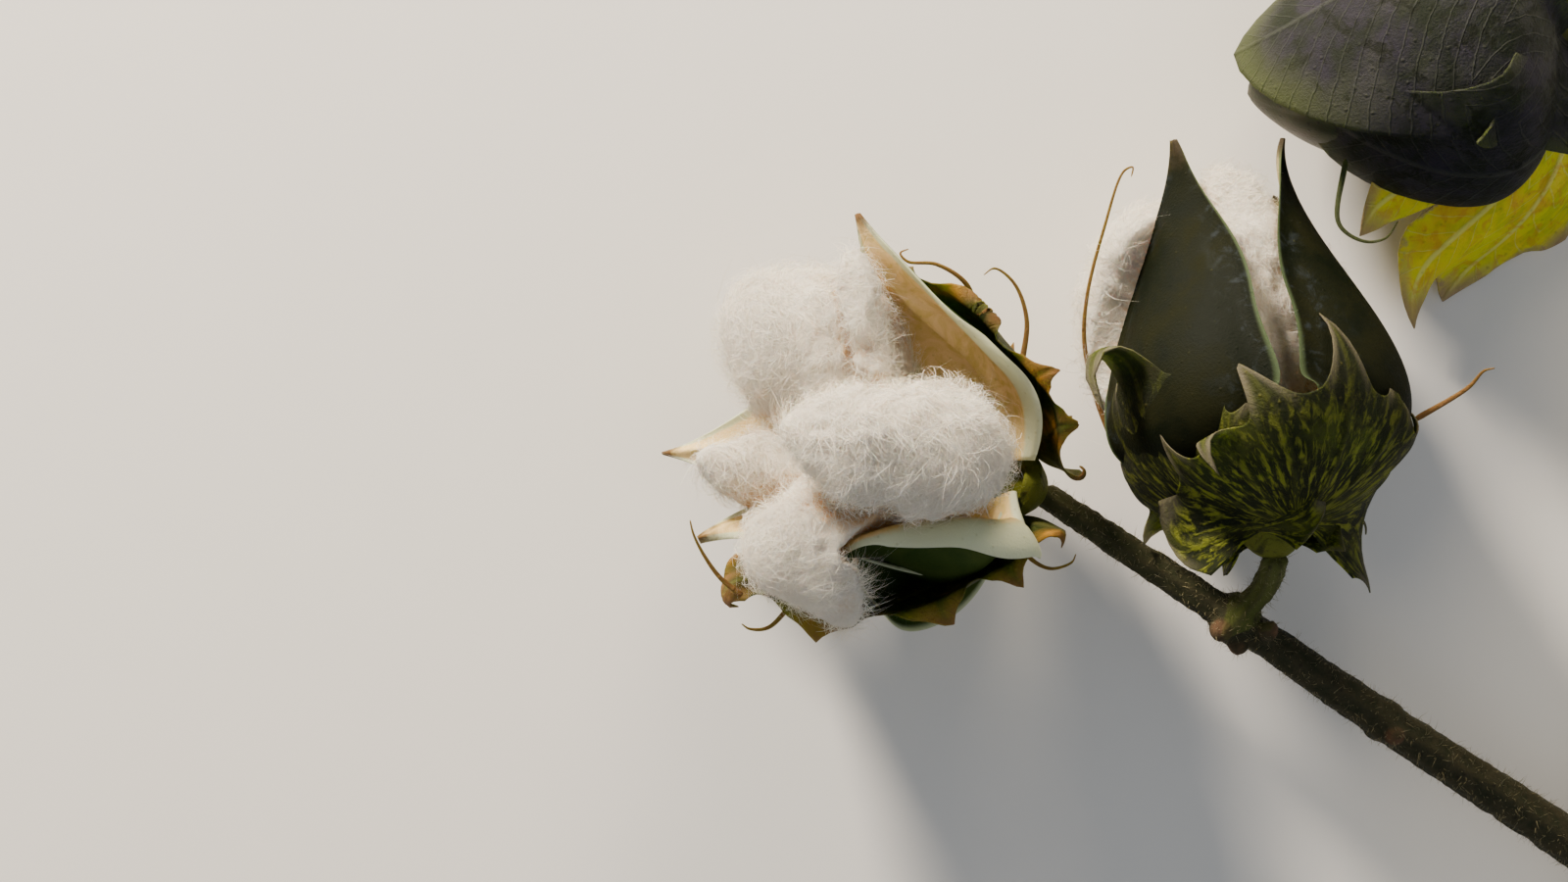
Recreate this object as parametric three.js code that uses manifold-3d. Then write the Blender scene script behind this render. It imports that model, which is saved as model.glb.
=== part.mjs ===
// A cut branch of a cotton plant, lying on a level surface: a forking stem that carries two open
// bolls full of lint and one green boll that is still shut. Millimetres, +Z up, +Y away from the cut
// end. Every boll is built upright in its own frame: +Z runs along the boll, azimuth 0 is its +X.
import * as THREE from 'three';
import { LoftGeometry } from 'three/addons/geometries/LoftGeometry.js';
import { mergeVertices } from 'three/addons/utils/BufferGeometryUtils.js';
import Module from 'manifold-3d';

const wasm = await Module();
wasm.setup();

// Places below are measured from one point of the branch; this shift puts the origin under the
// middle of the whole branch, on the surface it lies on.
const ORIGIN_SHIFT = new THREE.Vector3(-65.98, 9.06, 0.04);

// Clearance between neighbouring solids, and how near two points count as one
const GAP = 0.35;
const WELD = 1e-4;
const SLIVER = 0.03;

// Stem sizes
const STEM_SIDES = 8;
const CUT_RADIUS = 4.6;
const FORK_RADIUS = 4.3;
const BRANCH_ROOT_RADIUS = 3.6;
const BRANCH_NODE_RADIUS = 2.5;
const PEDICEL_RADIUS = 1.9;

// Stem places
const CUT_END = [146, -94, 4.5];
const FORK = [130, -69, 10];
const NODE = [66, -26, 18];
const STEM_BEND = [134, -8, 14];
const STEM_BEND_RADIUS = 3.4;
const LOWER_THROUGH = [138, -81, 7];
const MIDDLE_THROUGH = [133, -40, 12];
const UPPER_THROUGH = [[134, 22, 14], [130, 50, 14.5]];
const BRANCH_THROUGH = [[111.3, -56, 13.5], [88, -41, 16.5]];
const FRONT_STALK_THROUGH = [52, -17, 17];
const BACK_STALK_THROUGH = [69.5, -21, 23.5];
const STEM_STEPS = { lower: 4, middle: 6, upper: 10, branch: 9, frontStalk: 6, backStalk: 5 };

// Calyx sizes: the cup between stalk and boll, its widths as shares of its radius
const CALYX_FOOT = -3.2;
const CALYX_LOW = -1.2;
const CALYX_MIDDLE = 1.2;
const CALYX_MOUTH = 2.6;
const CALYX_LOW_WIDTH = 0.75;
const CALYX_MOUTH_WIDTH = 0.8;
const CALYX_SIDES = 12;

// Capsule sizes: the shut green boll, a rounded cone that is fullest low down
const CAPSULE_FOOT = 3;
const CAPSULE_STEPS = 10;
const CAPSULE_SIDES = 15;
const CAPSULE_START = 0.03;
const CAPSULE_SPAN = 0.95;
const CAPSULE_FULL_LOW = 0.8;
const CAPSULE_ROUNDNESS = 0.7;

// Valve sizes: the woody walls that the boll splits into
const VALVE_FOOT = new THREE.Vector2(3, 3);
const VALVE_FLARE = 80;
const VALVE_WALL = 1.5;
const VALVE_RIM = 0.7;
const VALVE_BEND = 14;
const VALVE_LIP = 0.25;
const VALVE_LIP_BEND = 7;
const VALVE_WIDEST = 0.425;
const VALVE_TIP = 0.985;
const VALVE_TIP_WIDTH = 0.5;
const VALVE_TAPER = 0.4;
const VALVE_DRAWN_FROM = 0.6;
const VALVE_WIDTH_START = 0.06;
const VALVE_SWELL = 0.55;
const VALVE_CLOSE = 0.95;
const VALVE_THINNING = 0.6;
const VALVE_STEPS = 8;
const VALVE_COLUMNS = 8;
const SEPTUM_HEIGHT = 2.2;

// Bract sizes: the toothed leaves under the boll
const BRACT_FOOT = new THREE.Vector2(5.8, 0.4);
const BRACT_THICKNESS = 0.8;
const BRACT_RIM = 0.45;
const BRACT_ROOT = 2.5;
const BRACT_BEND = 25;
const BRACT_RINGS = 4;
const BRACT_TEETH = 7;
const BRACT_NOTCH = 0.66;
const BRACT_SPREAD = 122;
const BRACT_LOBE = 0.27;
const BRACT_LOBE_FALL = 1.2;
const BRACT_SIDE_NOTCH = 0.9;
const LOBE_FLARE = 0.35;

// Lock sizes: the lint of one compartment
const LOCK_END = 0.2;
const LOCK_STEPS = 8;
const LOCK_SIDES = 10;

const LOOKS = {
  stem: { colour: new THREE.Color(0.10, 0.12, 0.05), roughness: 0.75 },
  stalk: { colour: new THREE.Color(0.16, 0.18, 0.06), roughness: 0.75 },
  valve: { colour: new THREE.Color(0.30, 0.33, 0.20), roughness: 0.6 },
  lint: { colour: new THREE.Color(0.93, 0.90, 0.85), roughness: 0.95 },
  bract: { colour: new THREE.Color(0.09, 0.13, 0.05), roughness: 0.7 },
  capsule: { colour: new THREE.Color(0.14, 0.14, 0.12), roughness: 0.5 },
};

// The front boll: open, seen from its mouth, with four valves and five parts of lint. A valve or
// bract runs from the calyx to a tip at this reach from the boll's line and this height along it.
const ROLLED_VALVE = { bend: 15, lip: 0.45, lipBend: 4.6 };
const FRONT = {
  name: 'front',
  base: [35, -6.6, 16.3],
  axis: [-0.828, 0.253, 0.5],
  facing: [0.517, 0, 0.856],
  calyxRadius: 5.2,
  valves: [
    { azimuth: 90, height: 38, reach: 31.3, halfWidth: 18.5, root: 26, beak: 20, beakTilt: 50, bend: 18 },
    { azimuth: 294, height: 33, reach: 21, halfWidth: 20, root: 32, beak: 18, beakTilt: 50, ...ROLLED_VALVE },
    { azimuth: 186, height: 42, reach: 34, halfWidth: 13, root: 28, beak: 22, beakTilt: 72, taper: 0.7 },
    { azimuth: 239, height: 45, reach: 23.5, halfWidth: 13, root: 28, beak: 20, beakTilt: 50 },
  ],
  locks: [
    { path: [[14, 0, 16.5], [20, -3, 28], [6, -3.2, 47]], radius: 12.6, taper: 0.5 },
    { path: [[-6, 8, 20], [-13.5, 13.5, 34], [-12, 12, 46.5]], radius: 12, taper: 0.08 },
    { path: [[3, -12, 13], [0, -16, 29], [2, -21, 43]], radius: 9.8, taper: 0 },
    { path: [[-5, -6, 16], [-13, -8, 34], [-9.3, -8.4, 49]], radius: 8, taper: 0.4 },
    { path: [[1.5, 25, 38], [2, 17, 35], [4, 6, 29]], radius: 4.4, taper: 0.5 },
  ],
  bracts: [
    { azimuth: 84, reach: 25.5, height: 34, root: 22, lift: 72, beak: 14, tipLift: -5, width: 0.85 },
    { azimuth: 239, reach: 26, height: 42, root: 21, lift: 72, beak: 14, tipLift: 0, width: 0.85 },
    { azimuth: 160, reach: 27, height: 34, root: 21, lift: 72, beak: 14, tipLift: 20, width: 0.85 },
  ],
};

// The back boll: open, seen from outside, standing up past the node
const BACK = {
  name: 'back',
  base: [70, -13.3, 29.3],
  axis: [-0.1, 0.96, -0.26],
  facing: [0, 0, 1],
  calyxRadius: 5.4,
  valves: [
    { azimuth: -54, height: 59, reach: 11, halfWidth: 20.5, root: 40, beak: 20, beakTilt: 36, taper: 0.6 },
    { azimuth: 66, height: 58.5, reach: 10.3, halfWidth: 20, root: 44, beak: 18, beakTilt: 25, taper: 0.6 },
    { azimuth: 140, height: 54, reach: 14, halfWidth: 15, root: 34, beak: 16, beakTilt: 40 },
    { azimuth: 220, height: 54, reach: 14, halfWidth: 15, root: 34, beak: 16, beakTilt: 40 },
  ],
  locks: [
    { path: [[0, 0, 14], [4, 2, 32], [1, -1, 54]], radius: 8.5, taper: 0 },
    { path: [[-3, -5, 12], [-6, -14, 30], [-3, -8, 50]], radius: 12.5, taper: 0 },
    { path: [[-3, 5, 12], [-7, 10, 30], [-4, 7, 47]], radius: 9.5, taper: 0 },
    { path: [[-6, 0, 12], [-14, 0, 28], [-8, 0, 48]], radius: 10, taper: 0 },
  ],
  bracts: [
    { azimuth: -55, reach: 18.5, height: 40, root: 23, lift: 68, beak: 14, tipLift: -10, width: 0.75 },
    { azimuth: 42, reach: 26, height: 31, root: 22, lift: 78, beak: 12, tipLift: 10, width: 1, lobe: 0.5 },
    { azimuth: 180, reach: 22, height: 30, root: 20, lift: 68, beak: 12, tipLift: 10, width: 0.85 },
  ],
};

// The green boll: still shut in its bracts, lying on its side, one bract folded away from it
const GREEN_BRACT = { width: 0.5, teeth: 5, notch: 0.86 };
const HANGING_BRACT = { width: 0.55, teeth: 5, notch: 0.8, twist: 55, spread: 85 };
const GREEN = {
  name: 'green',
  base: [112, 60, 15.2],
  axis: [-0.97, -0.2, 0.02],
  facing: [0, 0, 1],
  calyxRadius: 5,
  capsuleLength: 45,
  capsuleRadius: 16,
  bracts: [
    { azimuth: 52, reach: 3, height: 50, root: 26, lift: 78, beak: 26, tipLift: -48, ...GREEN_BRACT,
      width: 0.72 },
    { azimuth: -38, reach: 2, height: 46, root: 26, lift: 78, beak: 26, tipLift: -52, ...GREEN_BRACT },
    { azimuth: -98, reach: 37, height: 31, root: 16, lift: 85, beak: 12, tipLift: 60, ...HANGING_BRACT },
  ],
};

const radians = THREE.MathUtils.degToRad;

// A closed solid from loose triangles: corners welded, faces turned out
function weldedSolid(loose) {
  const welded = mergeVertices(loose, WELD);
  const corners = welded.index.array;
  const kept = [];
  for (let i = 0; i < corners.length; i += 3) {
    const [a, b, c] = [corners[i], corners[i + 1], corners[i + 2]];
    if (a !== b && b !== c && a !== c) kept.push(a, b, c);
  }
  const points = welded.attributes.position.array;
  const solid = solidFromTriangles(points, kept);
  if (solid.volume() > 0) return solid;
  for (let i = 0; i < kept.length; i += 3) {
    [kept[i + 1], kept[i + 2]] = [kept[i + 2], kept[i + 1]];
  }
  return solidFromTriangles(points, kept);
}

// A closed solid through a row of sections, each a ring of points
function loftSolid(sections) {
  const loft = new THREE.BufferGeometry();
  loft.copy(new LoftGeometry(sections, { capStart: true, capEnd: true }));
  loft.deleteAttribute('normal');
  loft.deleteAttribute('uv');
  return weldedSolid(loft);
}

// A closed shell between two sheets of points. Both are split along the same diagonals, so that
// a bent sheet's walls don't cross.
function shellSolid(outer, inner) {
  const points = [];
  const face = (...corners) => corners.forEach((corner) => points.push(corner.x, corner.y, corner.z));
  const rows = outer.length - 1;
  const columns = outer[0].length - 1;
  for (let i = 0; i < rows; i++) {
    for (let j = 0; j < columns; j++) {
      face(outer[i][j], outer[i + 1][j], outer[i + 1][j + 1]);
      face(outer[i][j], outer[i + 1][j + 1], outer[i][j + 1]);
      face(inner[i][j], inner[i + 1][j + 1], inner[i + 1][j]);
      face(inner[i][j], inner[i][j + 1], inner[i + 1][j + 1]);
    }
  }
  const rim = [];
  for (let j = 0; j < columns; j++) rim.push([0, j]);
  for (let i = 0; i < rows; i++) rim.push([i, columns]);
  for (let j = columns; j > 0; j--) rim.push([rows, j]);
  for (let i = rows; i > 0; i--) rim.push([i, 0]);
  rim.forEach(([i, j], k) => {
    const [m, n] = rim[(k + 1) % rim.length];
    face(outer[i][j], outer[m][n], inner[m][n]);
    face(outer[i][j], inner[m][n], inner[i][j]);
  });
  const loose = new THREE.BufferGeometry();
  loose.setAttribute('position', new THREE.Float32BufferAttribute(points, 3));
  return weldedSolid(loose);
}

// How far the first and last rings of a grown solid are pushed out along it
function beyond(ring, last, grow) {
  if (ring === 0) return -grow;
  return ring === last ? grow : 0;
}

function solidFromTriangles(points, corners) {
  return new wasm.Manifold(new wasm.Mesh({
    numProp: 3,
    vertProperties: new Float32Array(points),
    triVerts: new Uint32Array(corners),
  }));
}

// What is left of a solid when its neighbours are cut away, without loose scraps
function carved(solid, neighbours) {
  let left = solid;
  for (const neighbour of neighbours) left = left.subtract(neighbour);
  const bodies = left.asOriginal().simplify(SLIVER).decompose();
  return bodies.reduce((best, body) => (body.volume() > best.volume() ? body : best));
}

function meshFromSolid(name, solid, look) {
  const { vertProperties, triVerts } = solid.getMesh();
  const geometry = new THREE.BufferGeometry();
  geometry.setAttribute('position', new THREE.BufferAttribute(new Float32Array(vertProperties), 3));
  geometry.setIndex(new THREE.BufferAttribute(new Uint32Array(triVerts), 1));
  geometry.computeVertexNormals();
  const surface = { color: look.colour, roughness: look.roughness, metalness: 0 };
  const material = new THREE.MeshStandardMaterial(surface);
  const mesh = new THREE.Mesh(geometry, material);
  mesh.name = name;
  return mesh;
}

// Where a sheet's cross-section is at a distance from its spine: it bends inwards up to its lip,
// and the lip turns back outwards
function crossing(across, half, bend, lip) {
  const side = Math.sign(across);
  const distance = Math.abs(across);
  const straight = Math.max(0, half - lip.width);
  const turn = Math.min(distance, straight) / bend;
  const crossed = { sideways: bend * Math.sin(turn), inward: bend * (1 - Math.cos(turn)), turn };
  if (distance > straight) {
    const back = turn - (distance - straight) / lip.bend;
    crossed.sideways += lip.bend * (Math.sin(turn) - Math.sin(back));
    crossed.inward += lip.bend * (Math.cos(back) - Math.cos(turn));
    crossed.turn = back;
  }
  return { sideways: side * crossed.sideways, inward: crossed.inward, turn: side * crossed.turn };
}

// A point of a curved sheet that stands at an azimuth of the boll. The place on its spine gives
// radius and height, the crossing says how far it is from the spine, depth goes into the boll, and
// twist turns the sheet about its spine.
function sheetPoint(azimuth, place, crossed, depth, twist = 0) {
  const outward = new THREE.Vector3(Math.cos(azimuth), Math.sin(azimuth), 0);
  const aside = new THREE.Vector3(-Math.sin(azimuth), Math.cos(azimuth), 0);
  const within = outward.clone().multiplyScalar(-place.tangent.y);
  within.z = place.tangent.x;
  const sideways = aside.clone().multiplyScalar(Math.cos(twist)).addScaledVector(within, Math.sin(twist));
  const inward = within.multiplyScalar(Math.cos(twist)).addScaledVector(aside, -Math.sin(twist));
  const normal = inward.clone().multiplyScalar(Math.cos(crossed.turn));
  normal.addScaledVector(sideways, -Math.sin(crossed.turn));
  const point = outward.multiplyScalar(place.point.x);
  point.z = place.point.y;
  point.addScaledVector(sideways, crossed.sideways);
  point.addScaledVector(inward, crossed.inward);
  return point.addScaledVector(normal, depth);
}

// The curve of radius and height from the calyx to a tip
function spineCurve(start, piece, lift, tipLift) {
  const end = new THREE.Vector2(piece.reach, piece.height);
  const rise = new THREE.Vector2(Math.sin(lift), Math.cos(lift)).multiplyScalar(piece.root);
  const first = start.clone().add(rise);
  const drop = new THREE.Vector2(Math.sin(tipLift), Math.cos(tipLift)).multiplyScalar(piece.beak);
  const second = end.clone().sub(drop);
  return new THREE.CubicBezierCurve(start, first, second, end);
}

// Valve: a boat-shaped wall with a ridge inside, bulging out of the calyx and ending in a beak
function valveWidth(along) {
  return Math.pow(along + VALVE_WIDTH_START, VALVE_SWELL) * Math.pow(1 - along, VALVE_CLOSE) / VALVE_WIDEST;
}

function valveSolid(valve, grow) {
  const spine = spineCurve(VALVE_FOOT, valve, radians(VALVE_FLARE), radians(valve.beakTilt));
  const azimuth = radians(valve.azimuth);
  const outer = [];
  const inner = [];
  for (let i = 0; i <= VALVE_STEPS; i++) {
    const along = VALVE_TIP * i / VALVE_STEPS;
    const place = { point: spine.getPoint(along), tangent: spine.getTangent(along) };
    place.point.addScaledVector(place.tangent, beyond(i, VALVE_STEPS, grow));
    const drawn = 1 - (valve.taper ?? VALVE_TAPER) * THREE.MathUtils.smoothstep(along, VALVE_DRAWN_FROM, 1);
    const half = Math.max(VALVE_TIP_WIDTH, valve.halfWidth * valveWidth(along) * drawn) + grow;
    const lip = { width: (valve.lip ?? VALVE_LIP) * half, bend: valve.lipBend ?? VALVE_LIP_BEND };
    const thinned = 1 - along * VALVE_THINNING;
    outer.push([]);
    inner.push([]);
    for (let j = 0; j <= VALVE_COLUMNS; j++) {
      const aside = 2 * j / VALVE_COLUMNS - 1;
      const crossed = crossing(aside * half, half, valve.bend ?? VALVE_BEND, lip);
      const wall = THREE.MathUtils.lerp(VALVE_WALL, VALVE_RIM, aside * aside) * thinned;
      const ridge = aside === 0 ? SEPTUM_HEIGHT * Math.sin(Math.PI * along) : 0;
      outer[i].push(sheetPoint(azimuth, place, crossed, -grow));
      inner[i].push(sheetPoint(azimuth, place, crossed, wall + ridge + grow));
    }
  }
  return shellSolid(outer, inner);
}

// Lock: one compartment's lint, a soft lump along a bent line, pointed at its end where it tapers
function lockSolid(lock, grow) {
  const [start, bend, end] = lock.path.map((point) => new THREE.Vector3(...point));
  const line = new THREE.QuadraticBezierCurve3(start, bend, end);
  const sections = [];
  const aside = new THREE.Vector3(1, 0, 0);
  for (let i = 0; i <= LOCK_STEPS; i++) {
    const swing = THREE.MathUtils.lerp(LOCK_END, Math.PI - LOCK_END, i / LOCK_STEPS);
    const along = (1 - Math.cos(swing)) / 2;
    const radius = lock.radius * Math.sin(swing) * (1 - lock.taper * along) + grow;
    const tangent = line.getTangentAt(along);
    const across = new THREE.Vector3().crossVectors(tangent, aside).normalize();
    const over = new THREE.Vector3().crossVectors(across, tangent);
    const ring = [];
    for (let j = 0; j < LOCK_SIDES; j++) {
      const angle = 2 * Math.PI * j / LOCK_SIDES;
      const point = line.getPointAt(along).addScaledVector(tangent, beyond(i, LOCK_STEPS, grow));
      point.addScaledVector(over, radius * Math.cos(angle));
      point.addScaledVector(across, radius * Math.sin(angle));
      ring.push(point);
    }
    sections.push(ring);
  }
  return loftSolid(sections);
}

// Bract: a heart-shaped leaf with long teeth, its two lobes reaching back past the stalk
function bractPlace(spine, length, along) {
  if (along >= 0) {
    const share = Math.min(1, along / length);
    return { point: spine.getPointAt(share), tangent: spine.getTangentAt(share) };
  }
  const back = new THREE.Vector2(-LOBE_FLARE, Math.sqrt(1 - LOBE_FLARE * LOBE_FLARE));
  return { point: back.clone().multiplyScalar(along).add(BRACT_FOOT), tangent: back };
}

function bractSolid(bract, grow) {
  const azimuth = radians(bract.azimuth);
  const spine = spineCurve(BRACT_FOOT, bract, radians(bract.lift), radians(bract.tipLift));
  const length = spine.getLength();
  const teeth = bract.teeth ?? BRACT_TEETH;
  const notch = bract.notch ?? BRACT_NOTCH;
  const twist = radians(bract.twist ?? 0);
  const spread = radians(bract.spread ?? BRACT_SPREAD);
  const outer = [];
  const inner = [];
  const rays = 2 * teeth;
  for (let i = 0; i <= rays; i++) {
    const angle = THREE.MathUtils.lerp(-spread, spread, i / rays);
    const turn = Math.abs(angle) / spread;
    const body = THREE.MathUtils.lerp(1, bract.lobe ?? BRACT_LOBE, Math.pow(turn, BRACT_LOBE_FALL));
    const tooth = i % 2 === 1 ? 1 : THREE.MathUtils.lerp(notch, BRACT_SIDE_NOTCH, turn * turn);
    const reach = length * body * tooth + grow;
    outer.push([]);
    inner.push([]);
    for (let j = 0; j <= BRACT_RINGS; j++) {
      const out = j / BRACT_RINGS;
      const distance = THREE.MathUtils.lerp(BRACT_ROOT - grow, reach, out);
      const place = bractPlace(spine, length, distance * Math.cos(angle));
      const across = distance * Math.sin(angle) * bract.width;
      const crossed = crossing(across, Infinity, BRACT_BEND, { width: 0, bend: 1 });
      const half = THREE.MathUtils.lerp(BRACT_THICKNESS, BRACT_RIM, out) / 2 + grow;
      outer[i].push(sheetPoint(azimuth, place, crossed, -half, twist));
      inner[i].push(sheetPoint(azimuth, place, crossed, half, twist));
    }
  }
  return shellSolid(outer, inner);
}

// A solid of revolution about the boll's own line, from pairs of radius and height
function turnedSolid(profile, sides) {
  const sections = profile.map(([radius, height]) => {
    const ring = [];
    for (let j = 0; j < sides; j++) {
      const angle = 2 * Math.PI * j / sides;
      ring.push(new THREE.Vector3(radius * Math.cos(angle), radius * Math.sin(angle), height));
    }
    return ring;
  });
  return loftSolid(sections);
}

function calyxSolid(boll, grow) {
  const radius = boll.calyxRadius;
  return turnedSolid([
    [PEDICEL_RADIUS + grow, CALYX_FOOT - grow],
    [radius * CALYX_LOW_WIDTH + grow, CALYX_LOW - grow],
    [radius + grow, CALYX_MIDDLE],
    [radius * CALYX_MOUTH_WIDTH + grow, CALYX_MOUTH + grow],
  ], CALYX_SIDES);
}

function capsuleSolid(boll, grow) {
  const profile = [];
  for (let i = 0; i <= CAPSULE_STEPS; i++) {
    const along = i / CAPSULE_STEPS;
    const swell = Math.sin(Math.PI * Math.pow(CAPSULE_START + CAPSULE_SPAN * along, CAPSULE_FULL_LOW));
    profile.push([
      boll.capsuleRadius * Math.pow(swell, CAPSULE_ROUNDNESS) + grow,
      THREE.MathUtils.lerp(CAPSULE_FOOT - grow, boll.capsuleLength + grow, along),
    ]);
  }
  return turnedSolid(profile, CAPSULE_SIDES);
}

function bollGroup(boll) {
  const group = new THREE.Group();
  const axis = new THREE.Vector3(...boll.axis).normalize();
  const facing = new THREE.Vector3(...boll.facing);
  const side = facing.addScaledVector(axis, -facing.dot(axis)).normalize();
  const up = new THREE.Vector3().crossVectors(axis, side);
  group.quaternion.setFromRotationMatrix(new THREE.Matrix4().makeBasis(side, up, axis));
  group.position.set(...boll.base);
  return group;
}

// Everything placed so far in the branch's frame, each solid a gap larger than its piece
const taken = [];

// Adds a piece to a group, cut clear of the pieces that are there already
function place(group, name, make, look) {
  group.updateMatrix();
  const there = group.matrix.elements;
  const back = group.matrix.clone().invert().elements;
  const whole = make(0).transform(there);
  group.add(meshFromSolid(name, carved(whole, taken).transform(back), look));
  taken.push(make(GAP).transform(there).add(whole));
}

function placeCalyx(boll) {
  place(boll.group, `${boll.name}_calyx`, (grow) => calyxSolid(boll, grow), LOOKS.stem);
}

function placeCapsule(boll) {
  place(boll.group, `${boll.name}_capsule`, (grow) => capsuleSolid(boll, grow), LOOKS.capsule);
}

function placeAll(boll, word, pieces, make) {
  for (const [index, piece] of pieces.entries()) {
    place(boll.group, `${boll.name}_${word}_${index + 1}`, (grow) => make(piece, grow), LOOKS[word]);
  }
}

// Stem: a tapering limb along a smooth line through a few points, cut flat at both ends
function limbSolid(points, radii, steps, grow) {
  const line = new THREE.CatmullRomCurve3(points.map((point) => new THREE.Vector3(...point)));
  const frames = line.computeFrenetFrames(steps, false);
  const sections = [];
  for (let i = 0; i <= steps; i++) {
    const along = i / steps;
    const middle = line.getPointAt(along);
    const radius = THREE.MathUtils.lerp(radii[0], radii[1], along) + grow;
    const ring = [];
    for (let j = 0; j < STEM_SIDES; j++) {
      const angle = 2 * Math.PI * j / STEM_SIDES;
      const point = middle.clone();
      point.addScaledVector(frames.normals[i], radius * Math.cos(angle));
      point.addScaledVector(frames.binormals[i], radius * Math.sin(angle));
      ring.push(point);
    }
    sections.push(ring);
  }
  return loftSolid(sections);
}

function belowCalyx(boll, distance) {
  const axis = new THREE.Vector3(...boll.axis).normalize();
  return new THREE.Vector3(...boll.base).addScaledVector(axis, CALYX_FOOT - distance).toArray();
}

function placeStems(group) {
  const limbs = [
    {
      name: 'stem_lower',
      points: [CUT_END, LOWER_THROUGH, FORK],
      radii: [CUT_RADIUS, FORK_RADIUS],
      steps: STEM_STEPS.lower,
    },
    {
      name: 'stem_middle',
      points: [FORK, MIDDLE_THROUGH, STEM_BEND],
      radii: [FORK_RADIUS, STEM_BEND_RADIUS],
      steps: STEM_STEPS.middle,
    },
    {
      name: 'stem_upper',
      points: [STEM_BEND, ...UPPER_THROUGH, belowCalyx(GREEN, GAP)],
      radii: [STEM_BEND_RADIUS, PEDICEL_RADIUS],
      steps: STEM_STEPS.upper,
    },
    {
      name: 'branch_lower',
      points: [FORK, ...BRANCH_THROUGH, NODE],
      radii: [BRANCH_ROOT_RADIUS, BRANCH_NODE_RADIUS],
      steps: STEM_STEPS.branch,
    },
    {
      name: 'pedicel_front',
      points: [NODE, FRONT_STALK_THROUGH, belowCalyx(FRONT, GAP)],
      radii: [BRANCH_NODE_RADIUS, PEDICEL_RADIUS],
      steps: STEM_STEPS.frontStalk,
    },
    {
      name: 'pedicel_back',
      points: [NODE, BACK_STALK_THROUGH, belowCalyx(BACK, GAP)],
      radii: [PEDICEL_RADIUS, PEDICEL_RADIUS],
      steps: STEM_STEPS.backStalk,
    },
  ];
  for (const limb of limbs) {
    const look = limb.name.startsWith('pedicel') ? LOOKS.stalk : LOOKS.stem;
    place(group, limb.name, (grow) => limbSolid(limb.points, limb.radii, limb.steps, grow), look);
  }
}

const branch = new THREE.Group();
branch.position.copy(ORIGIN_SHIFT);

const bolls = [FRONT, BACK, GREEN];
for (const boll of bolls) {
  boll.group = bollGroup(boll);
  branch.add(boll.group);
  placeCalyx(boll);
}
const stems = new THREE.Group();
branch.add(stems);
placeStems(stems);
placeCapsule(GREEN);
for (const boll of [FRONT, BACK]) {
  placeAll(boll, 'valve', boll.valves, valveSolid);
  placeAll(boll, 'lint', boll.locks, lockSolid);
}
for (const boll of bolls) placeAll(boll, 'bract', boll.bracts, bractSolid);

const plant = new THREE.Group();
plant.add(branch);

export default plant;
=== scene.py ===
import math
import random
import bmesh
import bpy
import numpy as np
from mathutils import Matrix, Vector, noise
from mathutils.bvhtree import BVHTree
from mathutils.kdtree import KDTree


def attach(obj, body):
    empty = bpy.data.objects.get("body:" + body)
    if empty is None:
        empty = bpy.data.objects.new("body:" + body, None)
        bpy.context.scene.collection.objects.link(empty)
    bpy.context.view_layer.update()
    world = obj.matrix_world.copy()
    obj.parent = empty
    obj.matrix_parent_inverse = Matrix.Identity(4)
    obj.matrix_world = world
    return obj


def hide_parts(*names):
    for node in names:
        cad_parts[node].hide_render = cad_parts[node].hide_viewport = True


# A cut cotton branch lying down: two open bolls, one green boll still in its bracts, and the stems.
# Shapes are worked out in millimetres, in the branch's or a boll's own axes, and put in the part's
# metres as each mesh is finished.

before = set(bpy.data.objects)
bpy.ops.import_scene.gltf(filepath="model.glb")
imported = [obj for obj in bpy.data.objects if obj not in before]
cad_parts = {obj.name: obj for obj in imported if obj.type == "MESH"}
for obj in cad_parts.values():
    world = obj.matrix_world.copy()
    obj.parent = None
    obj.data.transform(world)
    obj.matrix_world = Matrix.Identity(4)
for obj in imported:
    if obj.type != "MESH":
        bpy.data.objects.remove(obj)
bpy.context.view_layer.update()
print("frame loaded")

mm = 0.001
branchShift = np.array([-65.98, 9.06, 0.04])    # from the branch's axes to the part's
tau = 2 * math.pi


# small helpers for places and curves

def unit(vector):
    vector = np.asarray(vector, float)
    return vector / np.linalg.norm(vector)


def bollPlace(boll):
    axis = unit(boll["axis"])
    side = np.asarray(boll["facing"], float)
    side = unit(side - axis * (side @ axis))
    return np.stack([side, np.cross(axis, side), axis]), np.asarray(boll["base"], float)


def toPart(points, place=None):
    if place is not None:
        points = points @ place[0] + place[1]
    return (points + branchShift) * mm


def onFloor(points, low=2.0, give=0.17):    # what would sink into the floor is bent along it
    deep = np.minimum(0, points[..., 2] - low * mm)
    points[..., 2] -= deep * (1 - give)
    return points


def mix(low, high, share):
    return low + (high - low) * share


def smooth(low, high, value):
    share = np.clip((value - low) / (high - low), 0, 1)
    return share * share * (3 - 2 * share)


def bezierLine(start, first, second, end, count=240):
    t = np.linspace(0, 1, count)[:, None]
    start, first, second, end = [np.asarray(point, float) for point in (start, first, second, end)]
    back = 1 - t
    line = back ** 3 * start + 3 * back ** 2 * t * first + 3 * back * t * t * second + t ** 3 * end
    slope = back ** 2 * (first - start) + 2 * back * t * (second - first) + t * t * (end - second)
    slope /= np.linalg.norm(slope, axis=1)[:, None]
    return t[:, 0], line, slope


def spineLine(start, sheet, lift, tipLift):    # radius and height from the calyx to a tip
    lift = math.radians(lift)
    tipLift = math.radians(tipLift)
    start = np.asarray(start, float)
    end = np.array([sheet["reach"], sheet["height"]], float)
    first = start + sheet["root"] * np.array([math.sin(lift), math.cos(lift)])
    second = end - sheet["beak"] * np.array([math.sin(tipLift), math.cos(tipLift)])
    return bezierLine(start, first, second, end)


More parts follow.
